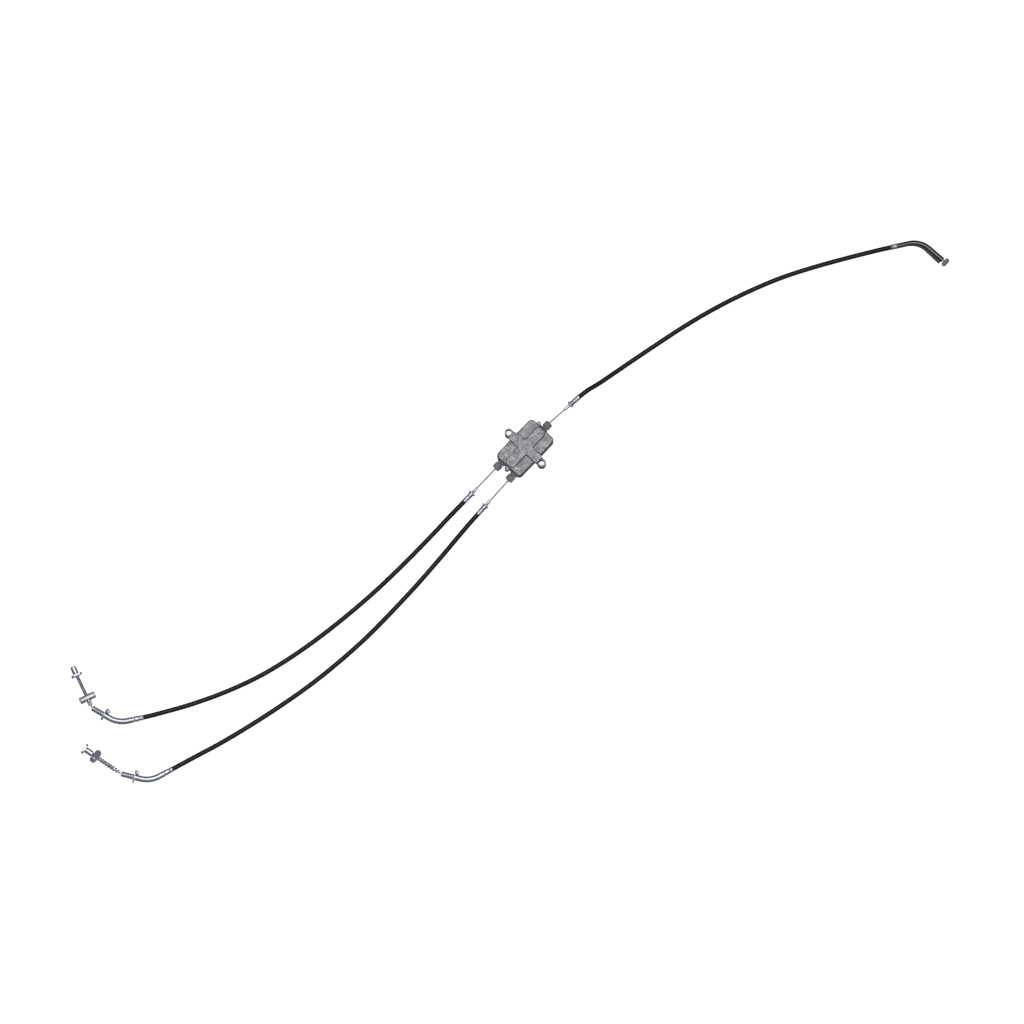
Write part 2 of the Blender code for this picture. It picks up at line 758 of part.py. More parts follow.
def adjuster_nut(name, place, finish):
    """Wing nut; the frame's X runs from its saddle notch to its winged end."""
    barrel = pin_profile(0, NUT_LENGTH - 0.8 * MM, NUT_BODY_D, 0.5 * MM)
    body = turned(name, barrel, finish, place, sides=18)
    wings = rounded_rectangle(NUT_WING_SPAN / 2, NUT_WING_D / 2, NUT_WING_D / 2 - 0.2 * MM, 5)
    levels = (NUT_LENGTH - NUT_WING_T, NUT_LENGTH)
    rings = [[Vector((x, y, z)) for y, z in wings] for x in levels]
    change(body, "UNION", loft(f"{name}_wings", rings, finish, place))
    saddle = along_x(place, NUT_SADDLE - BARREL_D / 2) @ frame_at((0, 0, 0), 90)
    cut_bore(body, f"{name}_saddle", BARREL_D, 30 * MM, saddle)
    cut_bore(body, f"{name}_thread", NUT_BORE_D, 60 * MM, place, 16)


def pipe_crimp(name, face, finish):
    """Crimped cup on the conduit's end; the frame's X points into the pipe."""
    outer = CRIMP_D / 2
    hole = WIRE_D / 2 + GAP
    groove = 0.8 * MM
    profile = [
        (-CRIMP_LENGTH, hole),
        (-CRIMP_LENGTH, outer - 0.3 * MM),
        (-8.5 * MM, outer - 0.3 * MM),
        (-8 * MM, outer - groove),
        (-6.6 * MM, outer - groove),
        (-6.1 * MM, outer),
        (-1 * MM, outer),
        (0, outer - 0.6 * MM),
        (0, hole),
    ]
    turned(name, profile, finish, face, 16, bored=True)


def pipe_and_plate(side, plate_place, zinc, grey):
    """Bent pipe, stop plate and sleeve; returns the conduit's end frame."""
    path, tail = bend_back(PIPE_STRAIGHT, PIPE_BEND_R, PIPE_BEND, PIPE_TAIL)
    pipe_place = along_x(plate_place, -PLATE_T / 2 - GAP)
    bent_tube(f"{side}_pipe", path, PIPE_D, PIPE_BORE_D, zinc, pipe_place)
    crimp_face = along_x(pipe_place @ tail, -GAP)
    pipe_crimp(f"{side}_crimp", crimp_face, zinc)
    stop_plate(f"{side}_stop_plate", plate_place, zinc)
    sleeve = tube_profile(-PLATE_T / 2, SLEEVE_LENGTH, SLEEVE_D, SLEEVE_BORE_D, 0.3 * MM)
    turned(f"{side}_sleeve", sleeve, grey, plate_place, 16, bored=True)
    return turned_round(along_x(crimp_face, -CRIMP_LENGTH))


def wire_and_rod(side, mouth, rod, steel, zinc):
    """The wire's last stretch inside the sleeve, its bent end, and the threaded rod."""
    inside = pin_profile(-9.6 * MM, -0.6 * MM, WIRE_D, 0.2 * MM)
    turned(f"{side}_brake_wire", inside, steel, mouth, 12)
    outside = pin_profile(0.7 * MM, ROD_START - GAP, WIRE_D, 0.2 * MM)
    turned(f"{side}_wire_end", outside, steel, rod, 12)
    turned(f"{side}_rod", pin_profile(ROD_START, ROD_END, ROD_D, 0.6 * MM), zinc, rod, 16)


def cross_barrel(name, place, zinc):
    """Barrel across the rod; the frame's X runs along the rod."""
    half = BARREL_LENGTH / 2
    across = place @ frame_at((0, 0, 0), 90)
    barrel = turned(name, pin_profile(-half, half, BARREL_D, 0.7 * MM), zinc, across, 20)
    cut_bore(barrel, f"{name}_hole", BARREL_BORE_D, 30 * MM, place, 16)


def left_brake_end(zinc, steel, grey):
    """Everything past the left brake conduit, the nut's saddle facing away from the barrel."""
    plate = frame_at(LEFT_PLATE, LEFT_HEADING, LEFT_PITCH)
    conduit_end = pipe_and_plate("left", plate, zinc, grey)
    mouth = along_x(plate, SLEEVE_LENGTH)
    rod = mouth @ frame_at((0, 0, 0), -LEFT_ROD_BEND)
    wire_and_rod("left", mouth, rod, steel, zinc)
    coil("left_spring", *LEFT_SPRING, steel, rod)
    cross_barrel("left_barrel", along_x(rod, LEFT_BARREL_X), zinc)
    adjuster_nut("left_nut", turned_round(along_x(rod, LEFT_NUT_X + NUT_LENGTH)), zinc)
    return conduit_end


def right_brake_end(zinc, steel, grey):
    """Everything past the right brake conduit, with the nut seated on the barrel."""
    plate = frame_at(RIGHT_PLATE, RIGHT_HEADING, RIGHT_PITCH)
    conduit_end = pipe_and_plate("right", plate, zinc, grey)
    mouth = along_x(plate, SLEEVE_LENGTH)
    rod = mouth @ frame_at((0, 0, 0), -RIGHT_ROD_BEND)
    wire_and_rod("right", mouth, rod, steel, zinc)
    coil("right_spring", *RIGHT_SPRING, steel, rod)
    roll = Matrix.Rotation(math.radians(RIGHT_BARREL_ROLL), 4, "X")
    cross_barrel("right_barrel", along_x(rod, RIGHT_BARREL_X) @ roll, zinc)
    adjuster_nut("right_nut", along_x(rod, RIGHT_BARREL_X + BARREL_D / 2 + GAP), zinc)
    return conduit_end


# ---------------------------------------------------------------- lever end


def guard(place, black):
    """Web inside the elbow's bend, deepest at the mouth, where the cable would rub."""
    inner = []
    outer = []
    steps = 12
    clear = ELBOW_D / 2 + GAP
    for step in range(steps + 1):
        share = step / steps
        depth = GUARD_DEPTH * (1 - share) + 0.7 * MM * share
        turn = math.radians(ELBOW_BEND) * max(0.0, share * 1.25 - 0.25)
        back = min(share, 0.2) / 0.2 * (ELBOW_EXIT - 1.2 * MM) + 1.2 * MM
        round_bend = Vector((-math.sin(turn), math.cos(turn) - 1, 0)) * ELBOW_BEND_R
        centre = Vector((-back, 0, 0)) + round_bend
        toward = Vector((math.sin(turn), -math.cos(turn), 0))
        inner.append(centre + toward * clear)
        outer.append(centre + toward * (clear + depth))
    outline = [(point.x, point.y) for point in inner + outer[::-1]]
    slab("lever_elbow_guard", outline, -GUARD_T / 2, GUARD_T / 2, black, place)


def lever_end(gloss, black, zinc, steel):
    """Elbow, guard and nipple at the lever; returns the conduit's end frame."""
    mouth = frame_at(LEVER_MOUTH, LEVER_MOUTH_HEADING)
    path, tail = bend_back(ELBOW_EXIT, ELBOW_BEND_R, ELBOW_BEND, ELBOW_TAIL)
    bent_tube("lever_elbow", path, ELBOW_D, ELBOW_BORE_D, gloss, mouth)
    guard(mouth, black)
    crimp_face = along_x(mouth @ tail, -GAP)
    crimp = tube_profile(-ELBOW_CRIMP, 0, ELBOW_D + 0.4 * MM, WIRE_D + 2 * GAP, 0.5 * MM)
    turned("lever_crimp", crimp, zinc, crimp_face, 16, bored=True)
    wire_tip = LEVER_NIPPLE_X - LEVER_NIPPLE_D / 2 - GAP
    wire = pin_profile(-18 * MM, wire_tip, WIRE_D, 0.2 * MM)
    turned("lever_end_wire", wire, steel, mouth, 12)
    nipple = along_x(mouth, LEVER_NIPPLE_X) @ frame_at((0, 0, 0), 90)
    half = LEVER_NIPPLE_LENGTH / 2
    turned("lever_nipple", pin_profile(-half, half, LEVER_NIPPLE_D, 0.5 * MM), zinc, nipple, 18)
    return turned_round(along_x(crimp_face, -ELBOW_CRIMP))


def build():
    clear_scene()
    cast = material("cast_aluminium", (0.33, 0.33, 0.35), 0.55, 0.8)
    zinc = material("zinc_plate", (0.72, 0.74, 0.78), 0.25, 1.0)
    steel = material("steel_wire", (0.42, 0.43, 0.45), 0.35, 1.0)
    grey = material("grey_sleeve", (0.55, 0.55, 0.6), 0.4, 0.6)
    rubber = material("boot_rubber", (0.12, 0.12, 0.13), 0.7, 0.0)
    vinyl = material("conduit_vinyl", (0.012, 0.012, 0.013), 0.4, 0.0)
    gloss = material("gloss_black", (0.01, 0.01, 0.012), 0.2, 0.0)
    black = material("guard_black", (0.04, 0.04, 0.045), 0.6, 0.0)

    case(cast, zinc)
    boots(rubber)
    slider(steel)
    beam(steel)
    box_wires(steel, zinc)
    ends = {
        "left": left_brake_end(zinc, steel, grey),
        "right": right_brake_end(zinc, steel, grey),
    }
    lever = lever_end(gloss, black, zinc, steel)

    lever_start = along_x(lever_frame(), LEVER_FERRULE_REACH)
    conduit("lever_conduit", lever_start, LEVER_ROUTE, lever, vinyl)
    for side, route in (("left", LEFT_ROUTE), ("right", RIGHT_ROUTE)):
        start = along_x(output_frame(side), output_reach(side))
        conduit(f"{side}_conduit", start, route, ends[side], vinyl)


build()
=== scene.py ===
"""Looks of the twin brake cable and its equaliser box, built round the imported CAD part.

Metres, in the CAD's own frame: +X along the box towards the lever cable, +Z up.
"""

import json
import math

import bmesh
import bpy
from mathutils import Matrix, Vector, noise

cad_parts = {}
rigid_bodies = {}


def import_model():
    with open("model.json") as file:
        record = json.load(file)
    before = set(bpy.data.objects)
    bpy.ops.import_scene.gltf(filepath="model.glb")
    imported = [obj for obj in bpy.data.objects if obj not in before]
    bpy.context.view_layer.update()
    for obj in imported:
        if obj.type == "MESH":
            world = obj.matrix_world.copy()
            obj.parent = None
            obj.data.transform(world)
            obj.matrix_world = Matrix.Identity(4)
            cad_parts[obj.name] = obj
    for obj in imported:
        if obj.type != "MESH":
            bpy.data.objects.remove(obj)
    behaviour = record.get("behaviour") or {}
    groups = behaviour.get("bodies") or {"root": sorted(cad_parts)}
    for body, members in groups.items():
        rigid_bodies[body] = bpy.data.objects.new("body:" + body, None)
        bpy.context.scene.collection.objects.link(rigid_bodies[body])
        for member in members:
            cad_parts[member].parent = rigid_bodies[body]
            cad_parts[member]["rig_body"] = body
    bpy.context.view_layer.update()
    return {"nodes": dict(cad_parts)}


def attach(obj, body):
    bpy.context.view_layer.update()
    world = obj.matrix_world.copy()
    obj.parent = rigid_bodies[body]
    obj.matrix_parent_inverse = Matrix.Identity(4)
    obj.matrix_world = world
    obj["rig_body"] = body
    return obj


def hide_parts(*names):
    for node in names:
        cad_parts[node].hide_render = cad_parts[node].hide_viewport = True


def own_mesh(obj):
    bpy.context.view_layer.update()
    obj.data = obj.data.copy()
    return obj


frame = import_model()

MM = 0.001
GAP = 0.3 * MM

# Cables and wire lines, as the CAD has them
CONDUIT_D = 6.4 * MM
WIRE_D = 2.0 * MM
CABLE_Z = 9.5 * MM
PULL_Y = -0.8 * MM
BEAM_HALF_SPAN = 11.1 * MM
NIPPLE_D = 4.9 * MM
CROSSBAR_X = 11.6 * MM
CROSSBAR_D = 4.6 * MM
LEVER_LINE_X = 50 * MM
LEVER_HEADING = -5.0
LEVER_FERRULE_REACH = 50 * MM
RIGHT_TOE = 1.5
OUTPUT_FERRULE_X = 108.1 * MM

# Equaliser box
CASE_LENGTH = 70 * MM
CASE_WIDTH = 44 * MM
CASE_CORNER = 6 * MM
CASE_WALL = 4 * MM
CASE_SIDE_WALL = 3 * MM
CASE_FLOOR = 2.5 * MM
COVER_TOP = 17 * MM
COVER_CEILING = 14.5 * MM
CROSS_TOP = 19.4 * MM
CROSS_STRAP = 12.8 * MM
CROSS_BOSS = 14 * MM
CROSS_REACH = 25.5 * MM
LUG_SPACING = 60 * MM
LUG_D = 11.6 * MM
LUG_HOLE_D = 7 * MM
LUG_TOP = 16 * MM
LUG_WEB_HALF = 5.5 * MM
LUG_WEB_NEAR = 19 * MM
LUG_WEB_FAR = 30 * MM
LUG_WEB_TOP = 15.4 * MM
LUG_FLARE = 1.6 * MM
LUG_FLARE_TOP = 11 * MM
EAR_D = 6.4 * MM
EAR_BOTTOM = 3 * MM
EAR_TOP = 15.6 * MM
RIVET_D = 2.6 * MM
RIVET_HEAD_D = 4.2 * MM
EARS = (("input", 36.0 * MM, 9.3 * MM), ("output", -36.8 * MM, -1.0 * MM))
BOOT_D = 11.4 * MM
BOOT_REACH = 12.5 * MM
BOOT_NECK_D = 8.0 * MM

# Fittings
FERRULE_CUP = 14.6 * MM
FERRULE_LENGTH = 25 * MM
PIPE_D = 8.0 * MM
PIPE_BORE_D = 4.4 * MM
PIPE_BEND_R = 34 * MM
PIPE_BEND = 43.0
PIPE_STRAIGHT = 7 * MM
PIPE_TAIL = 8 * MM
CRIMP_D = 7.6 * MM
CRIMP_LENGTH = 12 * MM
PLATE_T = 1.6 * MM
PLATE_WIDTH = 18 * MM
PLATE_HEIGHT = 13 * MM
SLEEVE_D = 7.2 * MM
SLEEVE_BORE_D = 6.0 * MM
SLEEVE_LENGTH = 18 * MM
ROD_D = 4.8 * MM
ROD_START = 9 * MM
ROD_END = 61 * MM
THREAD_PITCH = 0.8 * MM
BARREL_D = 9 * MM
BARREL_LENGTH = 22.5 * MM
BARREL_BORE_D = 5.6 * MM
NUT_LENGTH = 14.2 * MM
NUT_BODY_D = 7.8 * MM
NUT_BORE_D = 5.3 * MM
NUT_WING_SPAN = 15.2 * MM
NUT_WING_D = 8.8 * MM
NUT_WING_T = 2.8 * MM
NUT_SADDLE = 1.3 * MM
SPRING_D = 7.4 * MM
SPRING_WIRE_D = 0.95 * MM
ELBOW_D = 7.0 * MM
ELBOW_BORE_D = 3.6 * MM
ELBOW_BEND_R = 30.6 * MM
ELBOW_BEND = 54.0
ELBOW_EXIT = 24.2 * MM
ELBOW_TAIL = 16.2 * MM
ELBOW_CRIMP = 8 * MM
LEVER_NIPPLE_D = 6.2 * MM
LEVER_NIPPLE_LENGTH = 12.4 * MM
LEVER_NIPPLE_X = 4.6 * MM
GUARD_T = 5.4 * MM
GUARD_MOUTH_DEPTH = 3.4 * MM + 0.9 * MM
GUARD_TIP_DEPTH = 0.6 * MM
GUARD_SUNK = 0.5 * MM

# Brake ends: the stop plate's place and aim, then what lies along the rod past the sleeve's mouth
LEFT_PLATE = Vector((-643.9, 161.8, 7.0)) * MM
LEFT_HEADING = 102.9
LEFT_ROD_BEND = 34
LEFT_BARREL_X = 15.4 * MM
LEFT_NUT_X = 47.6 * MM
LEFT_SPRING = (4.2 * MM, 10.1 * MM, 3)
RIGHT_PLATE = Vector((-676.9, 74.9, 8.2)) * MM
RIGHT_HEADING = 119.2
RIGHT_PITCH = 3.5
RIGHT_ROD_BEND = 20
RIGHT_BARREL_X = 41 * MM
RIGHT_BARREL_ROLL = 48
RIGHT_SPRING = (2.9 * MM, 35.7 * MM, 8)

# Lever end
LEVER_MOUTH = Vector((570.0, -231.3, 3.8)) * MM
LEVER_MOUTH_HEADING = -88.3

# View
CAMERA_TARGET = Vector((-76.0, -47.0, 19.0)) * MM
CAMERA_DISTANCE = 12.0
CAMERA_LENS = 317.2
CAMERA_ELEVATION = 80
CAMERA_SIDE = (-0.7290, -0.6845)
FLOOR_HALF = 6.0
FLOOR_DROP = 0.2 * MM
LIGHT_AIM = (-0.07, -0.05, 0)

# Routes of the free conduits between their end fittings, as in the CAD
LEVER_ROUTE = [
    (0.1275, -0.0098, 0.0068),
    (0.1500, -0.0145, 0.0045),
    (0.1745, -0.0195, 0.0033),
    (0.2214, -0.0298, 0.0032),
    (0.2682, -0.0408, 0.0032),
    (0.3144, -0.0541, 0.0032),
    (0.3597, -0.0704, 0.0032),
    (0.4036, -0.0895, 0.0032),
    (0.4458, -0.1124, 0.0032),
    (0.4869, -0.1372, 0.0032),
    (0.5150, -0.1551, 0.0033),
]
LEFT_ROUTE = [
    (-0.1333, 0.0109, 0.0069),
    (-0.1570, 0.0110, 0.0045),
    (-0.1817, 0.0111, 0.0033),
    (-0.2299, 0.0120, 0.0032),
    (-0.2780, 0.0144, 0.0032),
    (-0.3260, 0.0192, 0.0032),
    (-0.3737, 0.0260, 0.0032),
    (-0.4209, 0.0355, 0.0032),
    (-0.4672, 0.0486, 0.0032),
    (-0.5117, 0.0664, 0.0034),
    (-0.5546, 0.0878, 0.0043),
    (-0.5860, 0.1062, 0.0055),
]
RIGHT_ROUTE = [
    (-0.1336, -0.0154, 0.0069),
    (-0.1575, -0.0166, 0.0045),
    (-0.1818, -0.0180, 0.0033),
    (-0.2300, -0.0202, 0.0032),
    (-0.2782, -0.0208, 0.0032),
    (-0.3265, -0.0201, 0.0032),
    (-0.3746, -0.0164, 0.0032),
    (-0.4224, -0.0102, 0.0032),
    (-0.4696, -0.0011, 0.0032),
    (-0.5165, 0.0100, 0.0032),
    (-0.5629, 0.0228, 0.0034),
    (-0.6040, 0.0362, 0.0042),
]


# ---------------------------------------------------------------- frames and outlines


def frame_at(point, heading=0.0, pitch=0.0):
    """Local frame whose X points along a heading about Z, then up by the pitch; degrees."""
    turn = Matrix.Rotation(math.radians(heading), 4, "Z")
    tip = Matrix.Rotation(math.radians(-pitch), 4, "Y")
    return Matrix.Translation(point) @ turn @ tip


def along_x(place, distance):
    return place @ Matrix.Translation((distance, 0, 0))


def turned_round(place):
    return place @ Matrix.Rotation(math.pi, 4, "Z")


def rolled(place, degrees):
    return place @ Matrix.Rotation(math.radians(degrees), 4, "X")


def upright(x, y, z=0.0):
    return Matrix.Translation((x, y, z)) @ Matrix.Rotation(math.radians(-90), 4, "Y")


def arc(centre, radius, start, end, steps):
    points = []
    for step in range(steps + 1):
        turn = math.radians(start + (end - start) * step / steps)
        points.append((centre[0] + radius * math.cos(turn), centre[1] + radius * math.sin(turn)))
    return points


def rounded_rectangle(half_x, half_y, radius, steps=12):
    points = []
    for side_x, side_y, start in ((1, 1, 0), (-1, 1, 90), (-1, -1, 180), (1, -1, 270)):
        centre = (side_x * (half_x - radius), side_y * (half_y - radius))
        points += arc(centre, radius, start, start + 90, steps)
    return points


def soften(profile, radius, closed=False, steps=3):
    """The profile with each corner rounded by up to that radius."""
    count = len(profile)
    points = []
    for index, here in enumerate(profile):
        if not closed and index in (0, count - 1):
            points.append(here)
            continue
        corner = Vector(here)
        before = Vector(profile[index - 1]) - corner
        after = Vector(profile[(index + 1) % count]) - corner
        reach = min(radius, before.length * 0.45, after.length * 0.45)
        start = corner + before.normalized() * reach
        end = corner + after.normalized() * reach
        for step in range(steps + 1):
            t = step / steps
            point = start * (1 - t) ** 2 + corner * 2 * t * (1 - t) + end * t**2
            points.append((point.x, point.y))
    return points


# ---------------------------------------------------------------- materials


class Paint:
    """A node material: a Principled BSDF with procedural colour, roughness and bump."""

    def __init__(self, name, **values):
        self.material = bpy.data.materials.new(name)
        self.material.use_nodes = True
        self.nodes = self.material.node_tree.nodes
        self.links = self.material.node_tree.links
        self.shader = self.nodes["Principled BSDF"]
        for socket, value in values.items():
            self.shader.inputs[socket.replace("_", " ")].default_value = value
        self.place = self.nodes.new("ShaderNodeTexCoord").outputs["Object"]

    def grain(self, scale, detail=3.0, roughness=0.5):
        """Noise in object space."""
        texture = self.nodes.new("ShaderNodeTexNoise")
        texture.inputs["Scale"].default_value = scale
        texture.inputs["Detail"].default_value = detail
        texture.inputs["Roughness"].default_value = roughness
        self.links.new(self.place, texture.inputs["Vector"])
        return texture.outputs["Fac"]

    def ramp(self, source, *stops):
        """Stops are a position and a grey value or a colour."""
        ramp = self.nodes.new("ShaderNodeValToRGB")
        while len(ramp.color_ramp.elements) < len(stops):
            ramp.color_ramp.elements.new(0.5)
        for element, (position, value) in zip(ramp.color_ramp.elements, stops):
            element.position = position
            colour = value if hasattr(value, "__len__") else (value, value, value)
            element.color = (*colour, 1)
        self.links.new(source, ramp.inputs["Fac"])
        return ramp.outputs["Color"]

    def blend(self, kind, first, second, factor=1.0):
        mix = self.nodes.new("ShaderNodeMix")
        mix.data_type = "RGBA"
        mix.blend_type = kind
        if isinstance(factor, float):
            mix.inputs["Factor"].default_value = factor
        else:
            self.links.new(factor, mix.inputs["Factor"])
        self.links.new(first, mix.inputs["A"])
        self.links.new(second, mix.inputs["B"])
        return mix.outputs["Result"]

    def edges(self):
        return self.nodes.new("ShaderNodeNewGeometry").outputs["Pointiness"]

    def facing_up(self):
        split = self.nodes.new("ShaderNodeSeparateXYZ")
        self.links.new(self.nodes.new("ShaderNodeNewGeometry").outputs["Normal"], split.inputs[0])
        return split.outputs["Z"]

    def colour(self, source):
        self.links.new(source, self.shader.inputs["Base Color"])

    def rough(self, source):
        self.links.new(source, self.shader.inputs["Roughness"])

    def bump(self, source, distance, strength=1.0, under=None):
        bump = self.nodes.new("ShaderNodeBump")
        bump.inputs["Distance"].default_value = distance
        bump.inputs["Strength"].default_value = strength
        self.links.new(source, bump.inputs["Height"])
        if under is not None:
            self.links.new(under, bump.inputs["Normal"])
        self.links.new(bump.outputs["Normal"], self.shader.inputs["Normal"])
        return bump.outputs["Normal"]


def cast_alloy():
    """Cast aluminium: mottled grey, with painted shade down the sides and in the steps, lighter on edges, and
    painted glints.
    """
    paint = Paint("cast_alloy", Metallic=0.35)
    clouds = paint.ramp(paint.grain(160, 5, 0.65), (0.3, (0.17, 0.17, 0.18)), (0.7, (0.46, 0.46, 0.49)))
    specks = paint.ramp(paint.grain(620, 3), (0.32, 0.6), (0.5, 1.0), (0.7, 1.5))
    tone = paint.blend("MULTIPLY", clouds, specks)
    # Painted shade: darker in the steps and hollows; lighter on convex edges.
    tone = paint.blend("MULTIPLY", tone, paint.ramp(paint.edges(), (0.45, 0.12), (0.495, 1.0), (0.54, 1.7)))
    # Painted shade: darker down the sides, which face away from the overhead light.
    tone = paint.blend("MULTIPLY", tone, paint.ramp(paint.facing_up(), (0.3, 0.2), (0.9, 0.5), (0.985, 1.0)))
    # Painted glints: bright flecks of highlight mixed into the colour.
    glints = paint.ramp(paint.grain(230, 2), (0.67, 0.0), (0.73, 0.7))
    bright = paint.nodes.new("ShaderNodeRGB")
    bright.outputs[0].default_value = (0.8, 0.8, 0.82, 1)
    paint.colour(paint.blend("MIX", tone, bright.outputs[0], glints))
    paint.rough(paint.ramp(paint.grain(300, 4), (0.3, 0.42), (0.7, 0.68)))
    coarse = paint.bump(paint.grain(420, 4, 0.6), 0.00045, 0.8)
    paint.bump(paint.grain(1500, 3), 0.00012, 0.6, coarse)
    return paint.material


def bright_zinc(name="bright_zinc", tint=(0.58, 0.60, 0.66), dull=0.0):
    """Clear-passivated zinc: bright, faintly blue, with soft clouds and a fine grain."""
    paint = Paint(name, Metallic=1.0)
    shade = tuple(channel * 0.62 for channel in tint)
    clouds = paint.ramp(paint.grain(240, 4, 0.6), (0.3, shade), (0.62, tint))
    # Painted shade in hollows and creases, with lighter worn edges.
    edge_wear_and_hollow_shade = paint.ramp(paint.edges(), (0.42, 0.35), (0.5, 1.0), (0.58, 1.2))
    paint.colour(paint.blend("MULTIPLY", clouds, edge_wear_and_hollow_shade))
    paint.rough(paint.ramp(paint.grain(500, 3), (0.3, 0.20 + dull), (0.7, 0.36 + dull)))
    drawn = paint.bump(paint.grain(900, 2), 0.00005, 0.5)
    paint.bump(paint.grain(210, 2), 0.00016, 0.35, drawn)
    return paint.material


def drawn_steel(name="drawn_steel", tint=(0.27, 0.27, 0.29)):
    paint = Paint(name, Metallic=1.0)
    shade = tuple(channel * 0.5 for channel in tint)
    paint.colour(paint.ramp(paint.grain(700, 3), (0.3, shade), (0.7, tint)))
    paint.rough(paint.ramp(paint.grain(1200, 2), (0.3, 0.22), (0.7, 0.42)))
    paint.bump(paint.grain(2500, 2), 0.00002, 0.5)
    return paint.material


def black_vinyl():
    """Extruded vinyl jacket: near black, satin, with a fine skin and handling scuffs."""
    paint = Paint("black_vinyl", IOR=1.45)
    paint.shader.inputs["Specular IOR Level"].default_value = 0.35
    dark = (0.0035, 0.0035, 0.0040)
    worn = (0.0085, 0.0085, 0.0095)
    paint.colour(paint.ramp(paint.grain(90, 4), (0.35, dark), (0.7, worn)))
    paint.rough(paint.ramp(paint.grain(260, 4, 0.6), (0.3, 0.27), (0.7, 0.44)))
    skin = paint.bump(paint.grain(1900, 2), 0.00002, 0.5)
    paint.bump(paint.grain(150, 2), 0.00025, 0.3, skin)
    return paint.material


def gloss_black():
    """Gloss paint over pipe, with faint orange peel."""
    paint = Paint("gloss_black", IOR=1.55)
    paint.shader.inputs["Coat Weight"].default_value = 1.0
    paint.shader.inputs["Coat Roughness"].default_value = 0.06
    paint.colour(paint.ramp(paint.grain(120, 3), (0.35, (0.003, 0.003, 0.004)), (0.7, (0.008, 0.008, 0.010))))
    paint.rough(paint.ramp(paint.grain(400, 3), (0.3, 0.10), (0.7, 0.18)))
    paint.bump(paint.grain(500, 2), 0.00003, 0.4)
    return paint.material


def moulded_black():
    """Grained black plastic of the elbow's guard."""
    paint = Paint("moulded_black")
    paint.colour(paint.ramp(paint.grain(500, 4), (0.3, (0.022, 0.022, 0.028)), (0.7, (0.085, 0.085, 0.102))))
    paint.rough(paint.ramp(paint.grain(300, 3), (0.3, 0.5), (0.7, 0.75)))
    pebble = paint.bump(paint.grain(1400, 3, 0.6), 0.00018, 0.9)
    paint.bump(paint.grain(300, 2), 0.0002, 0.4, pebble)
    return paint.material


def boot_rubber():
    """Dusty dark rubber, with painted shade along its edges and in its groove."""
    paint = Paint("boot_rubber")
    base = paint.ramp(paint.grain(300, 4, 0.6), (0.3, (0.13, 0.13, 0.15)), (0.7, (0.29, 0.28, 0.32)))
    # Painted shade: darker along the edges and in the groove.
    painted_edge_and_groove_shade = paint.ramp(paint.edges(), (0.40, 0.15), (0.49, 1.0), (0.53, 0.9), (0.62, 0.5))
    paint.colour(paint.blend("MULTIPLY", base, painted_edge_and_groove_shade))
    paint.rough(paint.ramp(paint.grain(200, 3), (0.3, 0.55), (0.7, 0.8)))
    paint.bump(paint.grain(1600, 3), 0.00008, 0.7)
    return paint.material


def dull_alloy():
    """Die-cast nipple alloy, dull grey with a soft grain."""
    paint = Paint("dull_alloy", Metallic=0.75)
    tone = paint.ramp(paint.grain(420, 4, 0.6), (0.3, (0.16, 0.16, 0.16)), (0.7, (0.34, 0.34, 0.35)))
    # Painted shade in hollows and creases, with lighter worn edges.
    edge_wear_and_hollow_shade = paint.ramp(paint.edges(), (0.42, 0.4), (0.5, 1.0), (0.58, 1.5))
    paint.colour(paint.blend("MULTIPLY", tone, edge_wear_and_hollow_shade))
    paint.rough(paint.ramp(paint.grain(300, 3), (0.3, 0.4), (0.7, 0.62)))
    paint.bump(paint.grain(1100, 3), 0.00008, 0.8)
    return paint.material


# ---------------------------------------------------------------- mesh tools


def mesh_piece(name, rings, ring_loop=False, place=None):
    """A closed mesh through rings of equal counts, capped at its ends or joined end to end."""
    mesh = bmesh.new()
    rows = [[mesh.verts.new(point) for point in ring] for ring in rings]
    pairs = list(zip(rows, rows[1:]))
    if ring_loop:
        pairs.append((rows[-1], rows[0]))
    for low, high in pairs:
        for index in range(len(low)):
            after = (index + 1) % len(low)
            mesh.faces.new((low[index], low[after], high[after], high[index]))
    if not ring_loop:
        mesh.faces.new(rows[0][::-1])
        mesh.faces.new(rows[-1])
    if place is not None:
        mesh.transform(place)
    bmesh.ops.recalc_face_normals(mesh, faces=mesh.faces)
    data = bpy.data.meshes.new(name)
    mesh.to_mesh(data)
    mesh.free()
    data.shade_smooth()
    data.set_sharp_from_angle(angle=math.radians(50))
    piece = bpy.data.objects.new(name, data)
    bpy.context.scene.collection.objects.link(piece)
    return piece


def lathe(name, profile, place=None, sides=56, bored=False, shape=None):
    """A piece turned about local X; shape(x, radius, turn) may change each point's radius."""
    rings = []
    for x, radius in profile:
        ring = []
        for side in range(sides):
            turn = 2 * math.pi * side / sides
            r = shape(x, radius, turn) if shape else radius
            ring.append(Vector((x, r * math.cos(turn), r * math.sin(turn))))
        rings.append(ring)
    return mesh_piece(name, rings, bored, place)


def slab(name, outline, low, high, place=None):
    rings = [[Vector((x, y, z)) for x, y in outline] for z in (low, high)]
    return mesh_piece(name, rings, False, place)


def plate(name, outline, low, high, place=None):
    """A flat outline in local YZ, raised along local X."""
    rings = [[Vector((x, y, z)) for y, z in outline] for x in (low, high)]
    return mesh_piece(name, rings, False, place)


def swept(path, outline):
    """Rings along a path in local XY; outline(share) gives each ring's (across, up) points."""
    rings = []
    for index, point in enumerate(path):
        before = path[max(index - 1, 0)]
        after = path[min(index + 1, len(path) - 1)]
        along = (after - before).normalized()
        side = Vector((0, 0, 1)).cross(along).normalized()
        top = along.cross(side)
        points = outline(index / (len(path) - 1))
        rings.append([point + side * across + top * rise for across, rise in points])
    return rings


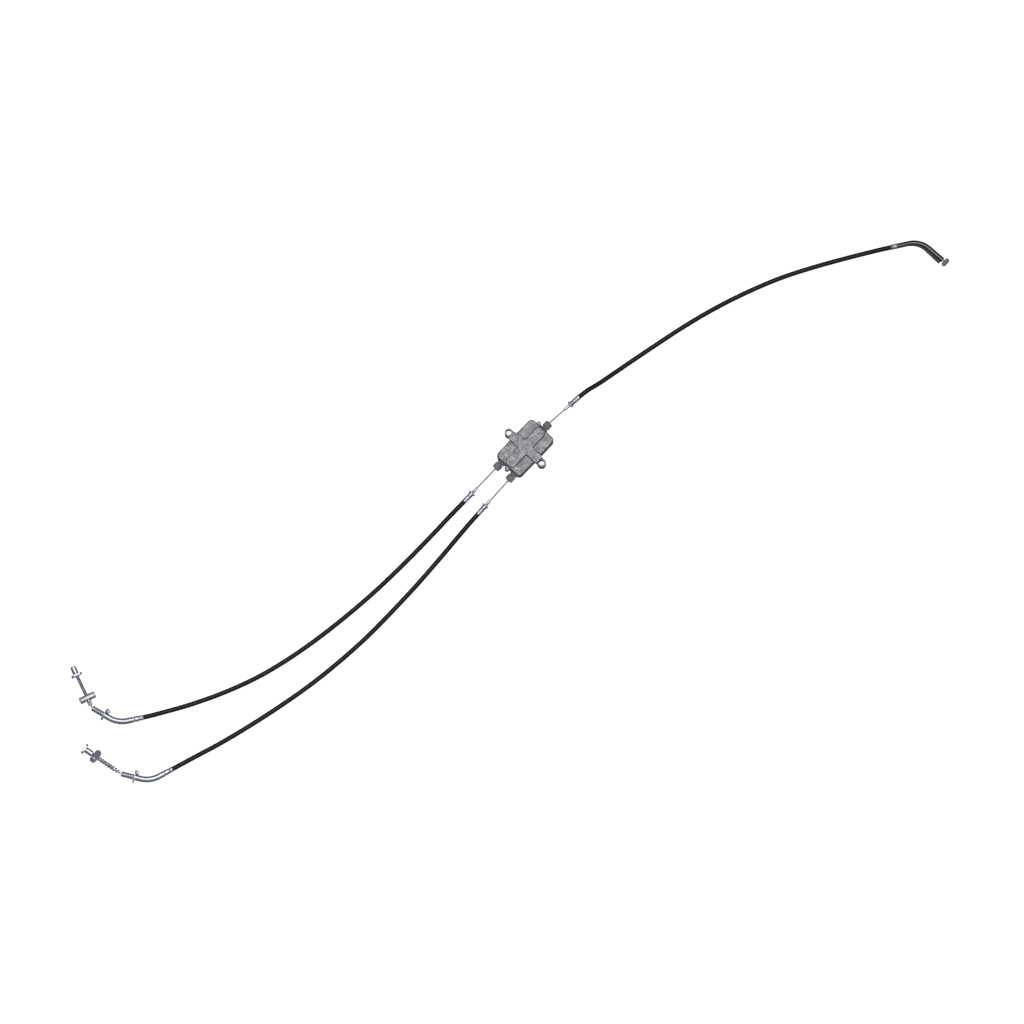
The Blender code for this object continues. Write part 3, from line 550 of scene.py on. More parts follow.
def ring_points(radius, sides=48):
    points = []
    for side in range(sides):
        turn = 2 * math.pi * side / sides
        points.append((radius * math.cos(turn), radius * math.sin(turn)))
    return points


def pipe(name, path, outer, bore, place):
    """A bent pipe with an open bore."""
    skin = swept(path, lambda share: ring_points(outer))
    hole = swept(path, lambda share: ring_points(bore))
    return mesh_piece(name, skin + hole[::-1], True, place)


def cut(target, operation, *tools):
    """Applies a Boolean with each tool and removes the tools."""
    bpy.context.view_layer.objects.active = target
    for tool in tools:
        modifier = target.modifiers.new("boolean", "BOOLEAN")
        modifier.operation = operation
        modifier.object = tool
        bake_modifiers(target)
        bpy.data.objects.remove(tool, do_unlink=True)
    return target


def bake_modifiers(piece):
    evaluated = piece.evaluated_get(bpy.context.evaluated_depsgraph_get())
    data = bpy.data.meshes.new_from_object(evaluated)
    piece.modifiers.clear()
    piece.data = data


def skinned(piece, voxel, rounds, roughness=0.0, grain=0.0):
    """Remeshes a piece into one fine skin, rounds its edges, and roughens it like a casting."""
    remesh = piece.modifiers.new("remesh", "REMESH")
    remesh.mode = "VOXEL"
    remesh.voxel_size = voxel
    relax = piece.modifiers.new("relax", "SMOOTH")
    relax.factor = 0.5
    relax.iterations = rounds
    bake_modifiers(piece)
    if roughness:
        normals = [vertex.normal.copy() for vertex in piece.data.vertices]
        for vertex, normal in zip(piece.data.vertices, normals):
            swell = noise.fractal(vertex.co / grain, 0.8, 2.1, 3)
            vertex.co += normal * swell * roughness
    piece.data.shade_smooth()
    return piece


def finish_piece(piece, paint, slot, *nodes, body=None):
    """Gives a piece its material and body, and lets it stand for its CAD nodes."""
    piece.data.materials.clear()
    piece.data.materials.append(paint)
    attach(piece, body or frame["nodes"][nodes[0]]["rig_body"])
    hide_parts(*nodes)
    return piece


# ---------------------------------------------------------------- free cables


def smooth_route(points, spacing):
    """Evenly spaced points on a smooth curve through the route's own points."""
    ends = [points[0] * 2 - points[1], *points, points[-1] * 2 - points[-2]]
    fine = []
    for a, b, c, d in zip(ends, ends[1:], ends[2:], ends[3:]):
        for step in range(24):
            t = step / 24
            square = (2 * a - 5 * b + 4 * c - d) * t**2
            cube = (3 * b - a - 3 * c + d) * t**3
            fine.append(0.5 * (2 * b + (c - a) * t + square + cube))
    fine.append(points[-1])
    lengths = [0.0]
    for low, high in zip(fine, fine[1:]):
        lengths.append(lengths[-1] + (high - low).length)
    count = round(lengths[-1] / spacing)
    even = []
    index = 0
    for step in range(count + 1):
        want = lengths[-1] * step / count
        while index < len(fine) - 2 and lengths[index + 1] < want:
            index += 1
        share = (want - lengths[index]) / (lengths[index + 1] - lengths[index])
        even.append(fine[index].lerp(fine[index + 1], min(share, 1)))
    return even, lengths[-1]


def conduit(name, start, route, end, paint):
    """A free outer cable, straight out of one fitting and straight into the other."""
    lead = 9 * MM
    points = [along_x(start, GAP).translation, along_x(start, GAP + lead).translation]
    points += [Vector(point) for point in route]
    points += [along_x(end, GAP + lead).translation, along_x(end, GAP).translation]
    even, length = smooth_route(points, 15 * MM)
    data = bpy.data.curves.new(name, "CURVE")
    data.dimensions = "3D"
    data.resolution_u = 8
    data.bevel_depth = CONDUIT_D / 2
    data.bevel_resolution = 8
    data.use_fill_caps = True
    spline = data.splines.new("BEZIER")
    spline.bezier_points.add(len(even) - 1)
    for control, point in zip(spline.bezier_points, even):
        control.co = point
        control.handle_left_type = "AUTO"
        control.handle_right_type = "AUTO"
    piece = bpy.data.objects.new(name, data)
    bpy.context.scene.collection.objects.link(piece)
    finish_piece(piece, paint, "conduit_vinyl", name.removesuffix("_jacket"))


def lever_frame():
    return frame_at((LEVER_LINE_X, 0, CABLE_Z), LEVER_HEADING)


def output_frame(side):
    if side == "left":
        return frame_at((0, PULL_Y + BEAM_HALF_SPAN, CABLE_Z), 180)
    return frame_at((0, PULL_Y - BEAM_HALF_SPAN, CABLE_Z), 180 + RIGHT_TOE)


def output_reach(side):
    toe = RIGHT_TOE if side == "right" else 0.0
    return OUTPUT_FERRULE_X / math.cos(math.radians(toe))


def strand(name, place, start, end, paint, node):
    """Inner wire: twelve outer strands laid round each other."""
    radius = WIRE_D / 2
    strands = 12
    lay = 17 * MM
    step = 0.6 * MM
    count = max(4, round((end - start) / step))

    def lobes(x, r, turn):
        swing = turn * strands / 2 - math.pi * strands * (x - start) / lay
        return r * (0.86 + 0.14 * abs(math.cos(swing)))

    profile = [(start, radius * 0.5)]
    profile += [(start + (end - start) * index / count, radius) for index in range(count + 1)]
    profile.append((end, radius * 0.5))
    piece = lathe(name, profile, place, 48, False, lobes)
    return finish_piece(piece, paint, "steel", node)


# ---------------------------------------------------------------- equaliser box


def boot_places():
    right_y = PULL_Y - BEAM_HALF_SPAN - 39 * MM * math.tan(math.radians(RIGHT_TOE))
    edge = CASE_LENGTH / 2
    return (
        ("lever_boot", frame_at((edge, 0, CABLE_Z))),
        ("left_boot", frame_at((-edge, PULL_Y + BEAM_HALF_SPAN, CABLE_Z), 180)),
        ("right_boot", frame_at((-edge, right_y, CABLE_Z), 180)),
    )


def soft_block(name, levels):
    rings = []
    for height, inset in levels:
        outline = rounded_rectangle(CASE_LENGTH / 2 - inset, CASE_WIDTH / 2 - inset, CASE_CORNER - inset)
        rings.append([Vector((x, y, height)) for x, y in outline])
    return mesh_piece(name, rings)


def cross_outline():
    strap = CROSS_STRAP / 2
    boss = CROSS_BOSS / 2
    reach = CASE_LENGTH / 2 - 1.6 * MM
    round_r = 6.6 * MM
    quarter = arc((reach - round_r, boss - round_r), round_r, 0, 90, 10)
    fillet = 1.6 * MM
    quarter += arc((strap + fillet, boss + fillet), fillet, 270, 180, 6)
    quarter += arc((strap - 3 * MM, CROSS_REACH - 3 * MM), 3 * MM, 0, 80, 6)
    points = list(quarter)
    points += [(-x, y) for x, y in reversed(quarter)]
    points += [(-x, -y) for x, y in quarter]
    points += [(x, -y) for x, y in reversed(quarter)]
    return points


def bore(diameter, length, place, sides=48):
    return lathe("bore", [(-length / 2, diameter / 2), (length / 2, diameter / 2)], place, sides)


def case_half(name, levels, low, ear_low, ear_high, hollow):
    """One half of the case with its share of the ears, hollowed and holed."""
    half = soft_block(name, levels)
    for _, x, y in EARS:
        ear = slab("ear", arc((x, y), EAR_D / 2, 0, 348, 29), ear_low, ear_high)
        cut(half, "UNION", ear)
    if name == "cover_casting":
        cut(half, "UNION", slab("cross", cross_outline(), COVER_TOP - 4 * MM, CROSS_TOP))
        for side in (1, -1):
            lug_y = side * LUG_SPACING / 2
            r = LUG_D / 2
            outline = [(0, 0.1 * MM), (0, r), (LUG_TOP, r), (LUG_TOP, 0.1 * MM)]
            post = lathe("post", soften(outline, 0.8 * MM), upright(0, lug_y))
            near, far = sorted((side * LUG_WEB_NEAR, side * LUG_WEB_FAR))
            wide = LUG_WEB_HALF
            web = slab("web", [(-wide, near), (wide, near), (wide, far), (-wide, far)], low, LUG_WEB_TOP)
            cut(half, "UNION", post, web)
    inner = rounded_rectangle(CASE_LENGTH / 2 - CASE_WALL, CASE_WIDTH / 2 - CASE_SIDE_WALL, 1.5 * MM)
    cut(half, "DIFFERENCE", slab("hollow", inner, *hollow))
    for _, place in boot_places():
        cut(half, "DIFFERENCE", bore(BOOT_NECK_D + 2 * GAP, 11 * MM, along_x(place, -CASE_WALL / 2)))
    for _, x, y in EARS:
        cut(half, "DIFFERENCE", bore(RIVET_D + 2 * GAP, 40 * MM, upright(x, y, 10 * MM)))
    return half


def case(paint, zinc):
    low = CABLE_Z - GAP / 2
    high = CABLE_Z + GAP / 2
    body = case_half(
        "body_casting",
        ((0.1 * MM, 0.8 * MM), (0.8 * MM, 0), (low, 0)),
        0,
        EAR_BOTTOM,
        low,
        (CASE_FLOOR, CABLE_Z + 2 * MM),
    )
    skinned(body, 0.42 * MM, 4, 0.05 * MM, 1.7 * MM)
    finish_piece(body, paint, "cast_aluminium", "case_body")
    shoulder = COVER_TOP - 0.6 * MM
    cover_levels = ((high, 0), (COVER_TOP - 2 * MM, 0), (shoulder, 0.6 * MM), (COVER_TOP, 2 * MM))
    inside = (CABLE_Z - 2 * MM, COVER_CEILING)
    cover = case_half("cover_casting", cover_levels, high, high, EAR_TOP, inside)
    r = LUG_HOLE_D / 2
    flared = [(-1 * MM, r + LUG_FLARE), (LUG_FLARE_TOP, r), (30 * MM, r)]
    for side in (1, -1):
        cut(cover, "DIFFERENCE", lathe("lug_hole", flared, upright(0, side * LUG_SPACING / 2), 48))
    skinned(cover, 0.42 * MM, 4, 0.06 * MM, 1.7 * MM)
    finish_piece(cover, paint, "cast_aluminium", "case_cover")
    for label, x, y in EARS:
        rivet(f"{label}_rivet_head", upright(x, y), zinc, f"{label}_rivet")


def rivet(name, place, zinc, node):
    shank = RIVET_D / 2
    head = RIVET_HEAD_D / 2
    low = EAR_BOTTOM - GAP
    high = EAR_TOP + GAP
    tail = low - 0.9 * MM
    profile = [(tail, 0.2 * MM), (tail, 1.2 * MM), (low, 1.9 * MM), (low, shank), (high, shank)]
    profile += [(high, head)]
    profile += [(high + 1.3 * MM * math.sin(t), head * math.cos(t)) for t in (0.3, 0.6, 0.9, 1.2)]
    profile += [(high + 1.25 * MM, 0.4 * MM), (high + 0.9 * MM, 0.15 * MM)]
    finish_piece(lathe(name, profile, place, 40), zinc, "zinc_plate", node)


def boots(paint):
    """Rubber boots: a collar against the box, a groove, then a six-sided body with a chamfered end."""
    outer = BOOT_D / 2
    neck = BOOT_NECK_D / 2
    inside = -CASE_WALL - GAP
    profile = [
        (inside - 1.4 * MM, 3.1 * MM),
        (inside - 1.4 * MM, 4.9 * MM),
        (inside, 4.9 * MM),
        (inside, neck),
        (GAP, neck),
        (GAP, outer),
        (2.4 * MM, outer),
        (2.7 * MM, outer - 1.9 * MM),
        (4.0 * MM, outer - 1.9 * MM),
        (4.2 * MM, outer - 0.1 * MM),
        (11.2 * MM, outer - 0.1 * MM),
        (BOOT_REACH, outer - 1.5 * MM),
        (BOOT_REACH, 1.9 * MM),
        (10.6 * MM, 1.9 * MM),
        (9.8 * MM, 3.1 * MM),
    ]

    def six_sided(x, radius, turn):
        if x < 3.3 * MM or radius < 2.6 * MM:
            return radius
        return radius * (0.93 + 0.07 * abs(math.cos(3 * turn)) ** 0.7)

    for name, place in boot_places():
        piece = lathe(f"{name}_rubber", soften(profile, 0.3 * MM, True), place, 72, True, six_sided)
        finish_piece(piece, paint, "boot_rubber", name)


def window(x, low, high):
    """Rises and falls smoothly between two places."""
    if not low < x < high:
        return 0.0
    return math.sin(math.pi * (x - low) / (high - low)) ** 2


def box_ferrule(name, face, paint, node):
    """Ferrule on a conduit's end: crimped cup, collar and spigot."""
    cup = 3.5 * MM
    collar_end = FERRULE_CUP + 1.2 * MM
    profile = [(0, 1.35 * MM), (0, cup)]
    profile += [(step * 0.4 * MM, cup) for step in range(2, 20)]
    profile += [
        (8.2 * MM, cup),
        (8.8 * MM, cup - 0.45 * MM),
        (10.2 * MM, cup - 0.45 * MM),
        (10.8 * MM, cup),
        (FERRULE_CUP, cup),
        (FERRULE_CUP, 5.3 * MM),
        (collar_end, 5.3 * MM),
        (collar_end, 2.3 * MM),
        (18.4 * MM, 2.0 * MM),
        (FERRULE_LENGTH - 0.5 * MM, 2.0 * MM),
        (FERRULE_LENGTH, 1.7 * MM),
        (FERRULE_LENGTH, 1.35 * MM),
    ]

    def crimped(x, radius, turn):
        if radius < 3 * MM:
            return radius
        dent = abs(math.cos(2 * turn)) ** 3 * (window(x, 1.4 * MM, 4.0 * MM) + window(x, 4.6 * MM, 7.2 * MM))
        return radius - 0.42 * MM * dent

    piece = lathe(name, soften(profile, 0.3 * MM, True, 2), face, 56, True, crimped)
    return finish_piece(piece, paint, "zinc_plate", node)


# ---------------------------------------------------------------- brake ends


def bend_back(straight, radius, bend, tail, steps=36):
    """Path from the local origin backwards: straight, a bend that turns left, then straight."""
    points = [Vector((-straight * step / 6, 0, 0)) for step in range(7)]
    for step in range(1, steps + 1):
        turn = math.radians(bend * step / steps)
        points.append(Vector((-straight - radius * math.sin(turn), radius * (math.cos(turn) - 1), 0)))
    turn = math.radians(bend)
    heading = Vector((math.cos(turn), math.sin(turn), 0))
    last = points[-1]
    points += [last - heading * tail * step / 8 for step in range(1, 9)]
    return points, frame_at(points[-1], bend)


def stop_plate(name, place, paint, node):
    """Oval plate across the pipe, with a solid bead at one end on the cable's side."""
    half_t = PLATE_T / 2
    half_w = PLATE_WIDTH / 2
    oval = rounded_rectangle(half_w, PLATE_HEIGHT / 2, PLATE_HEIGHT / 2 - 0.1 * MM, 16)
    piece = plate(name, [(y - 0.6 * MM, z) for y, z in oval], -half_t, half_t, place)
    outer = 3 * MM
    centre = (half_t - outer, -half_w + 1.6 * MM)
    roll = arc(centre, outer, 0, 348, 29)
    cut(piece, "UNION", slab("roll", roll, -3.6 * MM, 3.6 * MM, place))
    cut(piece, "DIFFERENCE", bore(SLEEVE_D + 2 * GAP, 12 * MM, place))
    skinned(piece, 0.2 * MM, 7)
    return finish_piece(piece, paint, "zinc_plate", node)


def adjuster_nut(name, place, paint, node):
    """Wing nut; the frame's X runs from its saddle notch to its winged end."""
    r = NUT_BODY_D / 2
    end = NUT_LENGTH - 0.8 * MM
    barrel = [(0, 0.1 * MM), (0, r), (end - 4 * MM, r), (end, r * 1.05), (end, 0.1 * MM)]
    piece = lathe(name, soften(barrel, 0.5 * MM), place)
    wings = rounded_rectangle(NUT_WING_SPAN / 2, NUT_WING_D / 2, NUT_WING_D / 2 - 0.2 * MM, 16)
    cut(piece, "UNION", plate("wings", wings, NUT_LENGTH - NUT_WING_T, NUT_LENGTH, place))
    saddle = along_x(place, NUT_SADDLE - BARREL_D / 2) @ frame_at((0, 0, 0), 90)
    cut(piece, "DIFFERENCE", bore(BARREL_D, 30 * MM, saddle), bore(NUT_BORE_D, 60 * MM, place))
    skinned(piece, 0.18 * MM, 5)
    return finish_piece(piece, paint, "zinc_plate", node)


def threaded_rod(name, place, paint, node):
    """Rod with a rolled 0.8 mm thread from its shoulder to its tip."""
    radius = ROD_D / 2
    rings = 0.1 * MM
    depth = 0.24 * MM
    first = ROD_START + 3 * MM
    count = round((ROD_END - ROD_START) / rings)

    def thread(x, r, turn):
        if x < first or r < radius * 0.8:
            return r
        phase = ((x - first) / THREAD_PITCH - turn / (2 * math.pi)) % 1
        return r - depth * abs(2 * phase - 1) ** 1.3

    profile = [(ROD_START, 0.9 * MM)]
    for index in range(count + 1):
        x = ROD_START + (ROD_END - ROD_START) * index / count
        ease = min(1.0, (ROD_END - x) / (1.2 * MM) * 0.3 + 0.7, (x - ROD_START) / (0.8 * MM) * 0.2 + 0.8)
        profile.append((x, radius * ease))
    profile.append((ROD_END, 0.5 * MM))
    return finish_piece(lathe(name, profile, place, 40, False, thread), paint, "zinc_plate", node)


def coil(name, start, end, turns, place, paint, node, body):
    """A compression spring with open ends, as a fine wire along an even helix."""
    radius = (SPRING_D - SPRING_WIRE_D) / 2
    steps = 28
    points = []
    for step in range(turns * steps + 1):
        share = step / (turns * steps)
        turn = 2 * math.pi * step / steps
        x = start + (end - start) * share
        points.append(Vector((x, radius * math.cos(turn), radius * math.sin(turn))))
    rings = []
    for index, point in enumerate(points):
        before = points[max(index - 1, 0)]
        after = points[min(index + 1, len(points) - 1)]
        along = (after - before).normalized()
        side = Vector((1, 0, 0)).cross(along).normalized()
        top = along.cross(side)
        thick = SPRING_WIRE_D / 2 * (0.8 if index in (0, len(points) - 1) else 1)
        rings.append([point + side * a * thick + top * b * thick for a, b in ring_points(1, 14)])
    piece = mesh_piece(name, rings, False, place)
    return finish_piece(piece, paint, "spring_steel", node, body=body)


def cross_barrel(name, place, paint, node):
    """Barrel across the rod, turned with chamfered, slightly dished ends."""
    half = BARREL_LENGTH / 2
    r = BARREL_D / 2
    profile = [
        (-half + 0.1 * MM, 0.3 * MM),
        (-half, r - 1.2 * MM),
        (-half + 0.9 * MM, r),
        (half - 0.9 * MM, r),
        (half, r - 1.2 * MM),
        (half - 0.1 * MM, 0.3 * MM),
    ]
    piece = lathe(name, soften(profile, 0.5 * MM), place @ frame_at((0, 0, 0), 90), 72)
    cut(piece, "DIFFERENCE", bore(BARREL_BORE_D, 30 * MM, place))
    piece.data.shade_smooth()
    piece.data.set_sharp_from_angle(angle=math.radians(40))
    return finish_piece(piece, paint, "zinc_plate", node)


def brake_pipe(side, plate_place, paints):
    """Crimp, bent pipe, stop plate and sleeve; returns the conduit's end frame."""
    path, tail = bend_back(PIPE_STRAIGHT, PIPE_BEND_R, PIPE_BEND, PIPE_TAIL)
    pipe_place = along_x(plate_place, -PLATE_T / 2 - GAP)
    tube = pipe(f"{side}_bent_pipe", path, PIPE_D / 2, PIPE_BORE_D / 2, pipe_place)
    finish_piece(tube, paints["zinc"], "zinc_plate", f"{side}_pipe")
    crimp_face = along_x(pipe_place @ tail, -GAP)
    r = CRIMP_D / 2
    hole = WIRE_D / 2 + GAP
    profile = [(-CRIMP_LENGTH, hole), (-CRIMP_LENGTH, r - 0.2 * MM)]
    profile += [(-CRIMP_LENGTH + step * 0.4 * MM, r - 0.1 * MM) for step in range(1, 9)]
    profile += [
        (-8.4 * MM, r - 0.1 * MM),
        (-7.9 * MM, r - 0.7 * MM),
        (-6.7 * MM, r - 0.7 * MM),
        (-6.2 * MM, r),
        (-1 * MM, r),
        (0, r - 0.4 * MM),
        (0, hole),
    ]

    def crimped(x, radius, turn):
        if radius < 2 * MM:
            return radius
        return radius - 0.35 * MM * abs(math.cos(2 * turn)) ** 3 * window(x, -11.6 * MM, -8.7 * MM)

    crimp = lathe(f"{side}_crimped_cup", soften(profile, 0.25 * MM, True, 2), crimp_face, 56, True, crimped)
    finish_piece(crimp, paints["zinc"], "zinc_plate", f"{side}_crimp")
    stop_plate(f"{side}_plate", plate_place, paints["satin"], f"{side}_stop_plate")

    start = -PLATE_T / 2
    outer = SLEEVE_D / 2
    sleeve = [(start, SLEEVE_BORE_D / 2), (start, outer - 0.2 * MM)]
    for ring in range(4):
        x = (4.6 + 3.2 * ring) * MM
        sleeve += [(x, outer), (x + 0.3 * MM, outer - 0.15 * MM), (x + 0.8 * MM, outer - 0.15 * MM)]
        sleeve += [(x + 1.1 * MM, outer)]
    sleeve += [(SLEEVE_LENGTH, outer), (SLEEVE_LENGTH, SLEEVE_BORE_D / 2)]
    tube = lathe(f"{side}_ringed_sleeve", soften(sleeve, 0.2 * MM, True, 2), plate_place, 56, True)
    finish_piece(tube, paints["satin"], "grey_sleeve", f"{side}_sleeve")
    return turned_round(along_x(crimp_face, -CRIMP_LENGTH))


def brake_end(side, plate_place, rod_and_barrel, nut_place, spring, paints):
    """Everything past one brake conduit; returns the conduit's end frame."""
    rod_bend, barrel_x, barrel_roll = rod_and_barrel
    conduit_end = brake_pipe(side, plate_place, paints)
    mouth = along_x(plate_place, SLEEVE_LENGTH)
    rod = mouth @ frame_at((0, 0, 0), -rod_bend)
    strand(f"{side}_inner_wire", mouth, -9.6 * MM, -0.6 * MM, paints["steel"], f"{side}_brake_wire")
    strand(f"{side}_wire_tail", rod, 0.7 * MM, ROD_START - GAP, paints["steel"], f"{side}_wire_end")
    threaded_rod(f"{side}_threaded_rod", rod, paints["zinc"], f"{side}_rod")
    barrel_place = rolled(along_x(rod, barrel_x), barrel_roll)
    cross_barrel(f"{side}_cross_barrel", barrel_place, paints["barrel"], f"{side}_barrel")
    adjuster_nut(f"{side}_wing_nut", rod @ nut_place, paints["zinc"], f"{side}_nut")
    rides = f"{side}_barrel"
    coil_piece = coil(f"{side}_return_spring", *spring, rod, paints["spring"], f"{side}_spring", rides)
    if side == "right":
        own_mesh(coil_piece)
    return conduit_end


# ---------------------------------------------------------------- lever end


def guard(mouth, paint):
    """Moulded web inside the elbow's bend, deepest at the mouth, with rounded edges."""
    steps = 60
    clear = ELBOW_D / 2 - GUARD_SUNK
    rings = []
    for step in range(steps + 1):
        share = step / steps
        depth = GUARD_MOUTH_DEPTH * (1 - share) + GUARD_TIP_DEPTH * share
        turn = math.radians(ELBOW_BEND) * max(0.0, share * 1.25 - 0.25)
        back = min(share, 0.2) / 0.2 * (ELBOW_EXIT - 1.2 * MM) + 1.2 * MM
        centre = Vector((-back, 0, 0)) + Vector((-math.sin(turn), math.cos(turn) - 1, 0)) * ELBOW_BEND_R
        toward = Vector((math.sin(turn), -math.cos(turn), 0))
        half = GUARD_T / 2
        radius = min(half, depth) * 0.45
        outline = rounded_rectangle(depth / 2, half, radius, 5)
        ripple = 0.12 * MM * math.sin(step * 1.9)
        ring = []
        for across, rise in outline:
            bulge = ripple if across > 0 else 0.0
            ring.append(centre + toward * (clear + depth / 2 + across - abs(bulge)) + Vector((0, 0, rise)))
        rings.append(ring)
    piece = mesh_piece("elbow_guard", rings, False, mouth)
    return finish_piece(piece, paint, "guard_black", "lever_elbow_guard")


def lever_end(paints):
    """Elbow, guard, crimp and crossbar nipple; returns the conduit's end frame."""
    mouth = frame_at(LEVER_MOUTH, LEVER_MOUTH_HEADING)
    path, tail = bend_back(ELBOW_EXIT, ELBOW_BEND_R, ELBOW_BEND, ELBOW_TAIL)
    tube = pipe("elbow_pipe", path, ELBOW_D / 2, ELBOW_BORE_D / 2, mouth)
    finish_piece(tube, paints["gloss"], "gloss_black", "lever_elbow")
    guard(mouth, paints["moulded"])
    crimp_face = along_x(mouth @ tail, -GAP)
    outer = ELBOW_D / 2 + 0.2 * MM
    profile = [(-ELBOW_CRIMP, 1.3 * MM), (-ELBOW_CRIMP, outer)]
    profile += [(-ELBOW_CRIMP + step * 0.4 * MM, outer) for step in range(1, 19)]
    profile += [(0, outer), (0, 1.3 * MM)]

    def crimped(x, radius, turn):
        if radius < 2 * MM:
            return radius
        return radius - 0.5 * MM * abs(math.cos(2 * turn)) ** 3 * window(x, -6.8 * MM, -1.4 * MM)

    cup = lathe("lever_crimped_cup", soften(profile, 0.3 * MM, True, 2), crimp_face, 56, True, crimped)
    finish_piece(cup, paints["dark_zinc"], "zinc_plate", "lever_crimp")
    tip = LEVER_NIPPLE_X - LEVER_NIPPLE_D / 2 - GAP
    strand("lever_end_strand", mouth, -18 * MM, tip, paints["steel"], "lever_end_wire")
    half = LEVER_NIPPLE_LENGTH / 2
    r = LEVER_NIPPLE_D / 2
    profile = [
        (-half + 0.15 * MM, 0.2 * MM),
        (-half, r - 1.6 * MM),
        (-half + 1.8 * MM, r),
        (half - 1.8 * MM, r),
        (half, r - 1.6 * MM),
        (half - 0.15 * MM, 0.2 * MM),
    ]
    place = along_x(mouth, LEVER_NIPPLE_X) @ frame_at((0, 0, 0), 90)
    nipple = lathe("crossbar_nipple", soften(profile, 1.4 * MM), place)
    skinned(nipple, 0.16 * MM, 4, 0.03 * MM, 0.9 * MM)
    finish_piece(nipple, paints["alloy"], "nipple_alloy", "lever_nipple")
    return turned_round(along_x(crimp_face, -ELBOW_CRIMP))


# ---------------------------------------------------------------- object


def box_side(paints):
    """The case with its boots, wires and ferrules."""
    case(paints["cast"], paints["zinc"])
    boots(paints["rubber"])
    line = lever_frame()
    start = -(LEVER_LINE_X - CROSSBAR_X) / math.cos(math.radians(LEVER_HEADING))
    strand("lever_strand", line, start + CROSSBAR_D / 2 + GAP, 41 * MM, paints["steel"], "lever_wire")
    face = turned_round(along_x(line, LEVER_FERRULE_REACH))
    box_ferrule("lever_ferrule", face, paints["zinc"], "lever_box_ferrule")
    for side in ("left", "right"):
        out = output_frame(side)
        strand(f"{side}_strand", out, NIPPLE_D / 2 + GAP, 99 * MM, paints["steel"], f"{side}_wire")
        face = turned_round(along_x(out, output_reach(side)))
        box_ferrule(f"{side}_ferrule", face, paints["zinc"], f"{side}_box_ferrule")


def inner_pieces(paints):
    """The CAD pieces sealed in the box keep their shapes and get real finishes."""
    for node in ("equaliser_slider", "equaliser_beam", "beam_pivot"):
        frame["nodes"][node].material_slots[0].material = paints["steel"]
    for node in ("left_wire_nipple", "right_wire_nipple", "lever_wire_crossbar"):
        frame["nodes"][node].material_slots[0].material = paints["zinc"]


def build():
    paints = {
        "cast": cast_alloy(),
        "zinc": bright_zinc(),
        "dark_zinc": bright_zinc("dark_zinc", (0.42, 0.43, 0.46), 0.1),
        "satin": bright_zinc("satin_zinc", (0.44, 0.45, 0.51), 0.14),
        "barrel": bright_zinc("barrel_zinc", (0.66, 0.68, 0.72), 0.16),
        "spring": bright_zinc("spring_wire", (0.72, 0.74, 0.78), 0.02),
        "steel": drawn_steel(),
        "vinyl": black_vinyl(),
        "gloss": gloss_black(),
        "moulded": moulded_black(),
        "rubber": boot_rubber(),
        "alloy": dull_alloy(),
    }
    box_side(paints)
    inner_pieces(paints)
    left_plate = frame_at(LEFT_PLATE, LEFT_HEADING)
    left_nut = turned_round(along_x(Matrix(), LEFT_NUT_X + NUT_LENGTH))
    left_rod = (LEFT_ROD_BEND, LEFT_BARREL_X, 0)
    left_end = brake_end("left", left_plate, left_rod, left_nut, LEFT_SPRING, paints)
    right_plate = frame_at(RIGHT_PLATE, RIGHT_HEADING, RIGHT_PITCH)
    right_nut = along_x(Matrix(), RIGHT_BARREL_X + BARREL_D / 2 + GAP)
    right_rod = (RIGHT_ROD_BEND, RIGHT_BARREL_X, RIGHT_BARREL_ROLL)
    right_end = brake_end("right", right_plate, right_rod, right_nut, RIGHT_SPRING, paints)
    lever = lever_end(paints)
    start = along_x(lever_frame(), LEVER_FERRULE_REACH)
    conduit("lever_conduit_jacket", start, LEVER_ROUTE, lever, paints["vinyl"])
    for side, route, end in (("left", LEFT_ROUTE, left_end), ("right", RIGHT_ROUTE, right_end)):
        start = along_x(output_frame(side), output_reach(side))
        conduit(f"{side}_conduit_jacket", start, route, end, paints["vinyl"])


# ---------------------------------------------------------------- stage


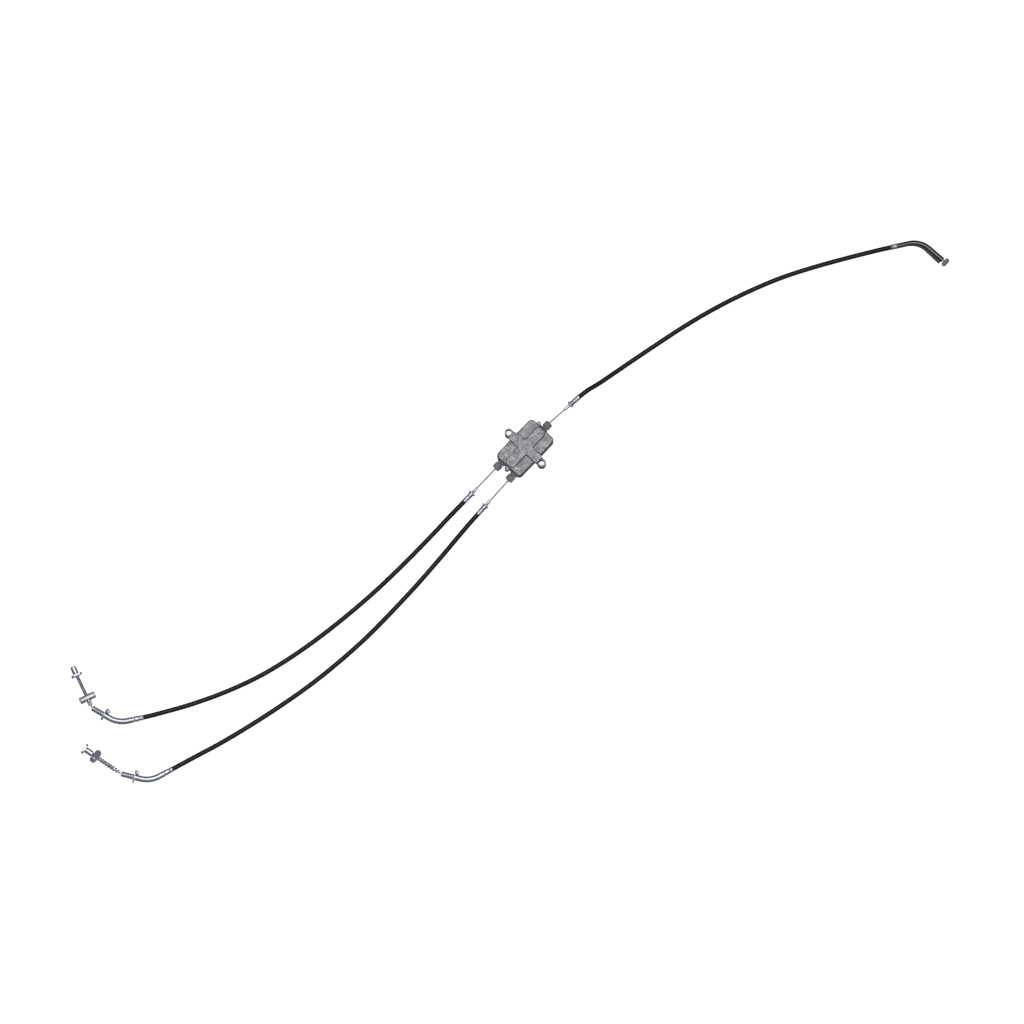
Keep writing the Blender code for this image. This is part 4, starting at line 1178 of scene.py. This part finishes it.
def floor():
    """A plain white floor, hidden from reflections so that bright metal keeps dark edges."""
    data = bpy.data.meshes.new("floor")
    size = FLOOR_HALF
    corners = [(-size, -size, 0), (size, -size, 0), (size, size, 0), (-size, size, 0)]
    data.from_pydata(corners, [], [(0, 1, 2, 3)])
    piece = bpy.data.objects.new("floor", data)
    piece.location.z = -FLOOR_DROP
    bpy.context.scene.collection.objects.link(piece)
    white = bpy.data.materials.new("floor_white")
    white.use_nodes = True
    shader = white.node_tree.nodes["Principled BSDF"]
    shader.inputs["Base Color"].default_value = (0.9, 0.9, 0.9, 1)
    shader.inputs["Roughness"].default_value = 0.9
    shader.inputs["Emission Color"].default_value = (1, 1, 1, 1)
    shader.inputs["Emission Strength"].default_value = 0.8
    data.materials.append(white)
    piece.visible_glossy = False


def softbox(name, place, width, height, power):
    data = bpy.data.lights.new(name, "AREA")
    data.shape = "RECTANGLE"
    data.size = width
    data.size_y = height
    data.energy = power
    lamp = bpy.data.objects.new(name, data)
    lamp.location = place
    lamp.rotation_euler = (Vector(LIGHT_AIM) - Vector(place)).to_track_quat("-Z", "Y").to_euler()
    bpy.context.scene.collection.objects.link(lamp)


def lights():
    world = bpy.data.worlds.new("studio")
    world.use_nodes = True
    nodes = world.node_tree.nodes
    links = world.node_tree.links
    split = nodes.new("ShaderNodeSeparateXYZ")
    links.new(nodes.new("ShaderNodeTexCoord").outputs["Generated"], split.inputs[0])
    ramp = nodes.new("ShaderNodeValToRGB")
    ramp.color_ramp.elements.new(0.5)
    stops = ((0.0, 0.30), (0.35, 0.14), (0.95, 0.62))
    for element, (position, value) in zip(ramp.color_ramp.elements, stops):
        element.position = position
        element.color = (value, value, value * 1.05, 1)
    links.new(split.outputs["Z"], ramp.inputs["Fac"])
    links.new(ramp.outputs["Color"], nodes["Background"].inputs["Color"])
    nodes["Background"].inputs["Strength"].default_value = 0.8
    bpy.context.scene.world = world
    softbox("top_softbox", (-0.4, -0.2, 2.6), 2.3, 2.3, 22)
    softbox("key_strip", (0.35, 0.35, 2.5), 1.6, 0.25, 9)


def camera():
    """High over the object, leaning back towards -X and -Y, through a long lens."""
    data = bpy.data.cameras.new("camera")
    data.lens = CAMERA_LENS
    data.clip_end = 100
    eye = bpy.data.objects.new("camera", data)
    lean = math.radians(CAMERA_ELEVATION)
    side_x, side_y = CAMERA_SIDE
    back = Vector((side_x * math.cos(lean), side_y * math.cos(lean), math.sin(lean)))
    eye.location = CAMERA_TARGET + back * CAMERA_DISTANCE
    eye.rotation_mode = "QUATERNION"
    eye.rotation_quaternion = (-back).to_track_quat("-Z", "Y")
    bpy.context.scene.collection.objects.link(eye)
    bpy.context.scene.camera = eye


build()
floor()
lights()
camera()
bpy.context.scene.view_settings.view_transform = "Standard"
